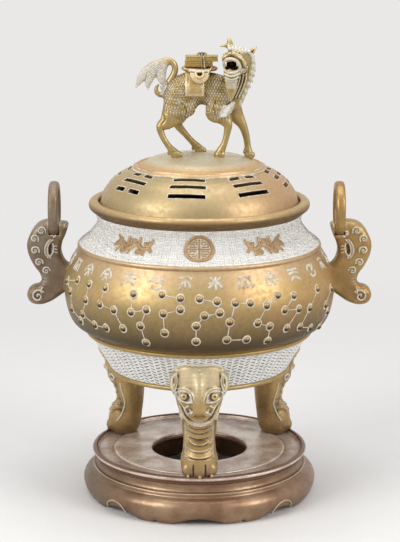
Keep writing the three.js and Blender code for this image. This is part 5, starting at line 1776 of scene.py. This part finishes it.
def beast_head_clay():
    """Neck and head, turned to look out over the near side with the mouth wide open."""
    clay = Clay((18, -36, 44), (60, 14, 117), 0.32)
    neck = [
        (33, -2, 50, 9, 8.6), (37, -2.5, 60, 9.2, 9.2), (42, -3, 73, 8.8, 9), (45.6, -3, 84, 8.4, 9),
        (44.5, -3, 94, 7.5, 8.5),
    ]
    clay.strand(neck, (1, 0, 0), blend=3, count=20)
    skull = [
        (46, 6, 93.5, 7.5, 6), (42.6, 0, 93.8, 11.6, 9.6), (38.6, -7, 93, 12.6, 11.6),
        (35.6, -14.6, 90.6, 11.6, 12.4),
    ]
    clay.strand(skull, (0, 0, 1), blend=3, count=16)
    jaws(clay)
    mouth(clay)
    face(clay)
    horns(clay)
    beard(clay)
    mane(clay)
    return clay


MOUTH_X, MOUTH_Z = 31.4, 89.9
# Lines of the face as ([x, z] points, radius, filling): upper lip, roof of the mouth and jaw, the line over
# them, lower lip, and the folds of the chin
FACE_LINES = [
    ([(23.8, 90), (24.4, 93.6), (26.8, 96.4), (31.4, 97), (35.8, 95.2), (38.6, 92), (39.8, 88)], 1.4, 1),
    ([(23.8, 97.6), (27.6, 100), (32.1, 101), (36.9, 98.9), (41.4, 95.7), (43.4, 90.8), (45.8, 86),
      (45.4, 81), (42, 77.6)], 1.8, 0),
    ([(25.5, 101.2), (30.4, 103.9), (35.6, 101.9), (40.4, 99.4), (44.2, 94), (46.8, 88)], 0.9, 1),
    ([(23.8, 85.6), (28, 83.9), (32, 83.5), (36, 84.2), (39.8, 86)], 1.0, 1),
    ([(24.3, 81.8), (28, 80.3), (31.4, 79.8), (35.4, 80.6), (39.4, 82.3)], 1.0, 0.95),
    ([(25, 78.4), (28, 77.1), (31.4, 76.6), (35, 77.3), (38.2, 78.8)], 0.9, 0.9),
    ([(26, 75.4), (31, 74.2), (36.4, 75.4)], 0.9, 0.8),
]


def jaws(clay):
    """Muzzle over the mouth, and the chin under it."""
    clay.ball((31.8, -19.6, 95.4), (9.6, 9, 7.6), 3)
    chin = [(31.8, -20, 87, 8, 7.4), (31.6, -21, 80.6, 7.5, 6.2), (31.2, -20.4, 76.4, 5.4, 4.6)]
    clay.strand(chin, (0, 1, 0), blend=2.4, count=9)


def mouth(clay):
    """Lips and folds, and the dark gape between them."""
    for path, radius, filled in FACE_LINES:
        points = clay.facing(1, -1, smooth(path, 24))
        clay.line(points, radius, 0.5, raised=True, filled=filled)
    curl = spiral(2.6, 1.0, 200, -1, 16, 0.3) + (43.2, 84)
    clay.line(clay.facing(1, -1, curl), 0.8, 0.4, raised=True, filled=1)
    gape = [
        (MOUTH_X, -12, MOUTH_Z, 4.6, 3), (MOUTH_X, -20, MOUTH_Z, 6, 4), (MOUTH_X, -34, MOUTH_Z, 6.6, 4.7),
    ]
    clay.strand(gape, (0, 0, 1), blend=0.8, count=12, cut=True)
    for side in (-1, 1):
        x, z = MOUTH_X + side * 3.6, MOUTH_Z - 2
        clay.strand([(x, -16, z, 2.4, 2), (x, -34, z, 3, 2.6)], (0, 0, 1), 0.8, cut=True)
        fang = [(MOUTH_X + side * 5.8, -26.6, 93.2), (MOUTH_X + side * 5.4, -27, 89.6)]
        clay.strand([(*fang[0], 1.1, 1), (*fang[1], 0.4, 0.4)], (0, 1, 0), 0.3)
        clay.paint(fang, 1.2, 1.0)
    clay.ball((29.4, -25.4, 85.4), (2.6, 2.4, 1.5), 0.6)


def face(clay):
    """Nose and eyes over the mouth."""
    for side in (-1, 1):
        clay.ball((31.6 + side * 2.2, -26.4, 102), (1.8, 1.8, 1.3), 1.0)
    far_eye = np.array([26.2, -14, 99.4])
    near_eye = clay.facing(1, -1, [(39.2, 101.6), (39.3, 101.6)])[0]
    for eye in (far_eye, near_eye):
        clay.ball(eye, (2.1, 1.5, 1.6), 0.5)
        clay.ball(eye + [0, -1.4, 0], (0.9, 0.8, 0.8), 0.2, cut=True)
        loop = [eye + [2.7 * math.cos(a), -0.2, 2.0 * math.sin(a)] for a in np.linspace(0, TURN, 17)]
        clay.line(loop, 0.55, 0.3, raised=True, filled=0.8)


def horns(clay):
    """The single horn with its prong, the ears, and the frill between them."""
    horn = [
        (31.4, -8, 103, 3.6, 3.4), (30.4, -5, 107, 3.2, 3.1), (29.8, -3.4, 111, 2.4, 2.5),
        (28.6, -2.4, 114.8, 0.8, 0.8),
    ]
    clay.strand(horn, (1, 0, 0), 1.2, count=14)
    prong = [(29.4, -4.4, 105.6, 2.2, 2.2), (25.4, -4.2, 107.6, 1.7, 1.8), (21.2, -4, 106.8, 0.9, 0.9)]
    clay.strand(prong, (0, 1, 0), 0.8, count=9)
    ear = [
        (47.4, -4, 97, 3.8, 4), (51.4, -2.6, 101, 3, 3), (54.2, -1.6, 104, 1.8, 2), (56, -1, 106, 0.6, 0.7),
    ]
    clay.strand(ear, (0, 1, 0), 1.0, count=14)
    clay.strand([(50, -6.2, 99.4, 1.2, 1.2), (53.4, -4.6, 102.8, 0.9, 1)], (0, 1, 0), 0.5, cut=True)
    for k in range(7):
        x = 29.6 + 3.1 * k
        root = (x, -16 + 0.8 * k, 105.2 - 0.55 * k)
        tip = (x - 1.4 + 0.5 * k, -12.6 + k, 109.6 - 0.9 * k)
        clay.strand([(*root, 2.1, 1.9), (*tip, 0.7, 0.7)], (0, 1, 0), 0.5)
        clay.paint(np.array([root, tip]) + [0, -0.6, 0], 2.3, 0.85)


def beard(clay):
    """Long strands under the chin."""
    for k in range(5):
        side = k - 2
        rows = [
            (31.2 + 2.0 * side, -23, 75.4, 1.7, 2.4), (31.2 + 1.6 * side, -21.4, 69, 1.5, 2),
            (31.2 + 1.0 * side, -19.6, 61.6, 1.1, 1.5), (31 + 0.3 * side, -17.4, 54 + abs(side), 0.6, 0.7),
        ]
        clay.strand(rows, (1, 0, 0), 0.35, count=16)
        clay.paint(np.array(rows)[:2, :3] + [0, -1.6, 0], 1.8, 0.55)


def mane(clay):
    """Locks down the back of the neck, and the ribbon of the throat."""
    for k in range(9):
        height = 99 - 5.4 * k
        back = 50.6 + 2.6 * math.sin(0.5 * k + 0.4) - 0.14 * k * k
        rows = [
            (back - 4.4, -6.5, height + 2, 2, 2.2), (back, -7, height - 1, 2.1, 2),
            (back + 2.4, -6.4, height - 5.6, 0.7, 0.7),
        ]
        clay.strand(rows, (0, 1, 0), 0.7, count=9)
        clay.paint(smooth([r[:3] for r in rows], 8) + [0, -1, 0], 2.0, 0.8)
    throat = [(45.6, -13.4, 88), (46, -13, 78), (43.4, -13, 68), (39, -12.4, 58)]
    for k in range(3):
        path = smooth(throat, 18) + [-3.2 * k, -0.4 * k, -0.6 * k]
        clay.line(path, 0.9, 0.8, raised=True, filled=(0.8, 0.1, 0.5)[k])


# The tail's stem and the three locks of its plume as (x, y, z, half width, half thickness)
TAIL_STEM = [
    (-29, 0, 71.6, 3.6, 3.6), (-25.2, 0, 78.4, 3.3, 3.3), (-23.8, 0, 85, 3.1, 3.1), (-26, 0, 90, 3.2, 3.2),
    (-31, 0, 91.8, 3.6, 3.4), (-36, 0, 90.4, 4, 4),
]
TAIL_LOCKS = [
    [(-31, 0, 91.3, 3.2, 3.2), (-38, 0, 89, 4.6, 4.6), (-46, 0, 85, 5.6, 4.8), (-53, 0, 79.4, 5.2, 4.2),
     (-58.6, 0, 73, 3.6, 3.2), (-62.6, 0, 65.6, 0.7, 0.9)],
    [(-38, 0, 88.6, 4.8, 4.6), (-44, 0, 83.6, 5.6, 4.8), (-48.6, 0, 76.8, 5, 4.2), (-50.4, 0, 70, 3.2, 3.2),
     (-51, 0, 63.6, 0.7, 0.9)],
    [(-33, 0, 89.8, 3.8, 4.2), (-37, 0, 85, 5.4, 4.6), (-38, 0, 79, 5.4, 4.2), (-36.6, 0, 72.6, 3.6, 3.4),
     (-34, 0, 66, 0.7, 0.9)],
]


def beast_tail_clay():
    """The curled stem and its plume, with grooves along the locks."""
    clay = Clay((-66, -8, 58), (-18, 8, 98), 0.32)
    clay.strand(TAIL_STEM, (0, 1, 0), blend=1, count=24)
    for lock in TAIL_LOCKS:
        clay.strand(lock, (0, 1, 0), blend=0.8, count=22)
    for lock in TAIL_LOCKS:
        line = smooth(lock, 20)
        ahead = np.gradient(line[:, [0, 2]], axis=0)
        ahead /= np.linalg.norm(ahead, axis=1, keepdims=True)
        aside = np.stack([-ahead[:, 1], ahead[:, 0]], axis=1)
        for share in (-0.72, -0.36, 0, 0.36, 0.72):
            flat = (line[:, [0, 2]] + aside * line[:, 3:4] * share)[1:-1]
            for side in (-1, 1):
                clay.line(clay.facing(1, side, flat), 0.42, 0.5)
        clay.paint(line[:, :3], line[:, 3] * 0.95, 0.8)
    return clay


# Saddlery
CLOTH_THICK = 2.2
CLOTH_GAP = 0.15
SADDLE_GAP = 0.6


def torso_grown(clay, by, cut=False):
    """The torso, larger all round, added to the clay or cut out of it."""
    rows = [(x, y, z, wide + by, deep + by) for x, y, z, wide, deep in TORSO]
    clay.strand(rows, (0, 0, 1), blend=0, count=30, cut=cut)


def off_cloth(x, y, z):
    """Above 0 outside the box that holds the saddle cloth."""
    return np.maximum(np.maximum(np.abs(x + 4.4) - 9.4, 58.4 - z), z - 85) + 0 * y


def cloth_clay():
    """Saddle cloth with a bordered field, laid over the back."""
    clay = Clay((-20, -20, 50), (12, 20, 88), 0.36)
    torso_grown(clay, CLOTH_THICK)
    clay.keep(off_cloth)
    torso_grown(clay, CLOTH_GAP, cut=True)
    border = stepped([(-12.4, 79), (-12.4, 60), (3.6, 60), (3.6, 79)], 1.0)
    field = stepped([(-10.4, 78), (-10.4, 62), (1.8, 62), (1.8, 78)], 1.0)
    for face in (-1, 1):
        clay.line(clay.facing(1, face, border), 0.5, 0.2, raised=True, filled=0.6)
        clay.line(clay.facing(1, face, field), 0.4, 0.2, filled=0.3)
    return clay


# Half rings of a flap as (radius, thickness, filling)
FLAP_RINGS = [(8.4, 1.3, 0.1), (6.3, 0.9, 0.9), (3.9, 1.5, 0.1)]


def flap_ring(face, radius):
    """Points of a half ring that hangs beside the saddle and lies against the flank."""
    points = []
    for a in np.linspace(math.pi, TURN, 17):
        away = 15.6 + 1.2 * abs(math.sin(a)) - 2.8 * (1 + math.sin(a)) * 0.5
        points.append((0.4 + radius * math.cos(a), face * away, 81 + radius * math.sin(a)))
    return points


def saddle_clay():
    """The seat with its raised ends, and a round flap, a strap and a roll on each side."""
    clay = Clay((-18, -21, 68), (20, 21, 92), 0.36)
    seat = [(-13, 0, 84.4, 7, 2.6), (-6, 0, 83.6, 9.4, 2.6), (4, 0, 83.4, 9.6, 2.6), (13.6, 0, 84.2, 7, 2.4)]
    clay.strand(seat, (0, 0, 1), 1, count=12)
    for face in (-1, 1):
        for radius, thick, filled in FLAP_RINGS:
            loop = flap_ring(face, radius)
            clay.strand([(*p, thick, thick) for p in loop], (0, 1, 0), 0.6, count=20)
            clay.paint(loop, thick, filled)
        strap = [(7.6, face * 13.2, 79), (9.6, face * 12.2, 82.6), (12.4, face * 9.6, 86.6)]
        clay.strand([(*p, 0.9, 0.9) for p in strap], (0, 1, 0), 0.4, count=8)
        roll = [
            (-9, face * 9.6, 83.4, 2.6, 1.6), (0, face * 10.8, 82.6, 3, 1.7), (9, face * 9.6, 83.4, 2.6, 1.6),
        ]
        clay.strand(roll, (0, 0, 1), 1.2, count=8)
        clay.paint(np.array(roll)[:, :3] + [0, face * 1.5, 0.8], 2.0, 1.0)
    torso_grown(clay, SADDLE_GAP, cut=True)
    return clay


# Books as (name, middle along x, length, bottom, top)
BOOKS = [("book_lower", -0.5, 28, 86.9, 91.5), ("book_upper", 2.3, 32.4, 91.9, 97.3)]
BOOK_WIDTH = 14
BOARD = 1.1
BOARD_OVERHANG = 0.7
TIE_X = 2.6


def books():
    """Two bound books: boards, a block of pages set back between them, and lines between the pages."""
    for name, x, length, low, high in BOOKS:
        heap = Heap()
        spans = [(low, low + BOARD, 0), (low + BOARD, high - BOARD, BOARD_OVERHANG), (high - BOARD, high, 0)]
        for bottom, top, back in spans:
            heap.add(*slab(x, length - 2 * back, BOOK_WIDTH - 2 * back, bottom, top, 0.28))
        for k in range(1, 4):
            z = low + BOARD + (high - low - 2 * BOARD) * k / 4
            heap.add(*slab(x, length - 1.1, BOOK_WIDTH - 1.1, z - 0.18, z + 0.18, 0.08))
        heap.piece(f"{name}_bound", SADDLERY_BRASS, "cover", "saddlery", replaced=[name])


def slab(x, length, width, low, high, soft):
    """A box with softened edges, over the crown, as points and faces."""
    rings = []
    for z, inset in ((low, soft), (low + soft, 0), (high - soft, 0), (high, soft)):
        ring = rounded_box(length / 2 - inset, width / 2 - inset, 0.9)
        rings.append(np.column_stack([ring[:, 0] + x, ring[:, 1], np.full(len(ring), CROWN_TOP + z)]))
    n = len(rings[0])
    points = np.concatenate(rings)
    ends = np.array([[x, 0, CROWN_TOP + low], [x, 0, CROWN_TOP + high]])
    caps = np.concatenate(pole_faces(n, 3 * n, len(points)))
    return np.concatenate([points, ends]), [grid_faces(4, n), caps]


def book_tie():
    """Strap round both books, knotted on top."""
    clay = Clay((-4, -13, 84), (16, 13, 103), 0.3)
    low, high, half = 87.4, 97.3, BOOK_WIDTH / 2
    drop = [
        (0.5, high + 1.1), (half - 0.6, high + 1.1), (half + 1.1, high - 0.8), (half + 1.1, (low + high) / 2),
        (half + 1.3, low),
    ]
    for face in (-1, 1):
        clay.strand([(TIE_X, face * y, z, 1.9, 0.75) for y, z in drop], (1, 0, 0), 0.3, count=18)
    clay.ball((TIE_X, -2, high + 1.6), (2.4, 2.4, 1.5), 0.6)
    for side in (-1, 1):
        bow = [
            (TIE_X, -2, high + 1.6), (TIE_X + side * 3, -2.6, high + 2.6),
            (TIE_X + side * 4.4, -3.4, high + 1),
        ]
        clay.strand([(*p, 1.0, 0.8) for p in bow], (0, 1, 0), 0.4, count=8)
    end = [
        (TIE_X + 1.4, -half - 1.3, high - 0.6), (TIE_X + 2.2, -half - 2, high - 6),
        (TIE_X + 2.8, -half - 3.4, low - 1),
    ]
    clay.strand([(*p, 0.9, 0.7) for p in end], (0, 1, 0), 0.3, count=8)
    for face in (-1, 1):
        for x in (TIE_X - 1.5, TIE_X + 1.5):
            edge = [(x, face * (half + 1.6), low), (x, face * (half + 1.6), high)]
            clay.paint(edge, 0.5, 0.7)
    return clay


def beast():
    """The beast and its load, each piece cast round the CAD node of its name."""
    pieces = [
        ("beast_body", beast_body_clay, BEAST_BRASS, "beast"),
        ("beast_head", beast_head_clay, BEAST_BRASS, "beast"),
        ("beast_tail", beast_tail_clay, BEAST_BRASS, "beast"),
        ("saddle_cloth", cloth_clay, SADDLERY_BRASS, "saddlery"),
        ("saddle", saddle_clay, SADDLERY_BRASS, "saddlery"),
        ("book_tie", book_tie, DARK_BRASS, "saddlery"),
    ]
    for node, clay, material, slot in pieces:
        sculpture(f"{node}_cast", clay().mesh(), material, "cover", slot, [node], shift=(0, 0, CROWN_TOP))
    books()


def rivets():
    """The CAD model's rivets stay as they are and take the legs' brass."""
    for thing in list(bpy.data.objects):
        if "rivet" in thing.name and thing.type == "MESH":
            thing.data.materials.clear()
            thing.data.materials.append(LEG_BRASS)


# Camera, floor and light
CAMERA_PLACE = (0.00075, -1.8104, 0.6401)
CAMERA_PITCH = 12.776
CAMERA_LENS = 122.1
BACKDROP = tone(233, 232, 231)
FLOOR_NEAR = 280
FLOOR_FAR = 1000


def camera():
    """The photograph's view: from the front, a little above the burner and pitched down."""
    data = bpy.data.cameras.new("camera")
    data.sensor_width = 36
    data.lens = CAMERA_LENS
    data.clip_start, data.clip_end = 0.05, 60
    thing = linked("camera", data)
    thing.location = CAMERA_PLACE
    thing.rotation_euler = (math.radians(90 - CAMERA_PITCH), 0, 0)
    bpy.context.scene.camera = thing


def seen(tree):
    """1 for rays that see the backdrop, straight or in a reflection, and 0 for those that light things."""
    rays = tree.nodes.new("ShaderNodeLightPath")
    share = rays.outputs["Is Camera Ray"]
    for name in ("Is Glossy Ray", "Is Transmission Ray"):
        both = tree.nodes.new("ShaderNodeMath")
        both.operation = "MAXIMUM"
        tree.links.new(share, both.inputs[0])
        tree.links.new(rays.outputs[name], both.inputs[1])
        share = both.outputs[0]
    return share


def floor():
    """A pale floor that takes the shadow near the burner and runs into an even backdrop further off."""
    shader = Shader("floor")
    grain = shader.noise(30, 4)
    colour = shader.mix(grain, tone(226, 225, 223), tone(231, 230, 228))
    shader.dress(colour, 0.9)
    glow = shader.node("ShaderNodeEmission", None, {"Color": BACKDROP, "Strength": 1.0})
    reach = shader.node("ShaderNodeVectorMath", {"operation": "LENGTH"}, {0: shader.place}).outputs["Value"]
    far = shader.math("MULTIPLY", shader.span(reach, FLOOR_NEAR * MM, FLOOR_FAR * MM), seen(shader.tree))
    both = shader.node("ShaderNodeMixShader", None, {0: far})
    shader.tree.links.new(shader.surface.outputs[0], both.inputs[1])
    shader.tree.links.new(glow.outputs[0], both.inputs[2])
    shader.tree.links.new(both.outputs[0], shader.tree.nodes["Material Output"].inputs["Surface"])
    half = 12
    points = [(-half, -half, 0), (half, -half, 0), (half, half, 0), (-half, half, 0)]
    mesh = bpy.data.meshes.new("floor")
    mesh.from_pydata(points, [], [(0, 1, 2, 3)])
    mesh.materials.append(shader.material)
    linked("floor", mesh)


def lamp(name, place, target, width, height, watts):
    """A softbox at a place in metres, facing a target."""
    data = bpy.data.lights.new(name, "AREA")
    data.shape = "RECTANGLE"
    data.size, data.size_y = width, height
    data.energy = watts
    thing = linked(name, data)
    thing.location = place
    thing.rotation_euler = (Vector(target) - Vector(place)).to_track_quat("-Z", "Y").to_euler()


def lights():
    """Three softboxes: left, right and above."""
    middle = (0, 0, 0.22)
    lamp("left_softbox", (-1.5, -1.1, 1.25), middle, 1.0, 1.2, 26)
    lamp("right_softbox", (1.6, -1.0, 1.2), middle, 0.9, 1.2, 22)
    lamp("top_softbox", (0, 0.1, 2.1), middle, 1.8, 1.6, 22)


def world():
    """Even grey light, with the backdrop for the rays that see it."""
    studio = bpy.data.worlds.new("studio")
    bpy.context.scene.world = studio
    studio.use_nodes = True
    tree = studio.node_tree
    background = tree.nodes["Background"]
    mix = tree.nodes.new("ShaderNodeMix")
    mix.data_type = "RGBA"
    mix.inputs[6].default_value = (0.32, 0.32, 0.33, 1)
    mix.inputs[7].default_value = BACKDROP
    tree.links.new(seen(tree), mix.inputs[0])
    tree.links.new(mix.outputs[2], background.inputs["Color"])


stand()
bowl()
lid()
legs()
handles()
beast()
rivets()
camera()
floor()
lights()
world()
bpy.context.scene.view_settings.view_transform = "Standard"
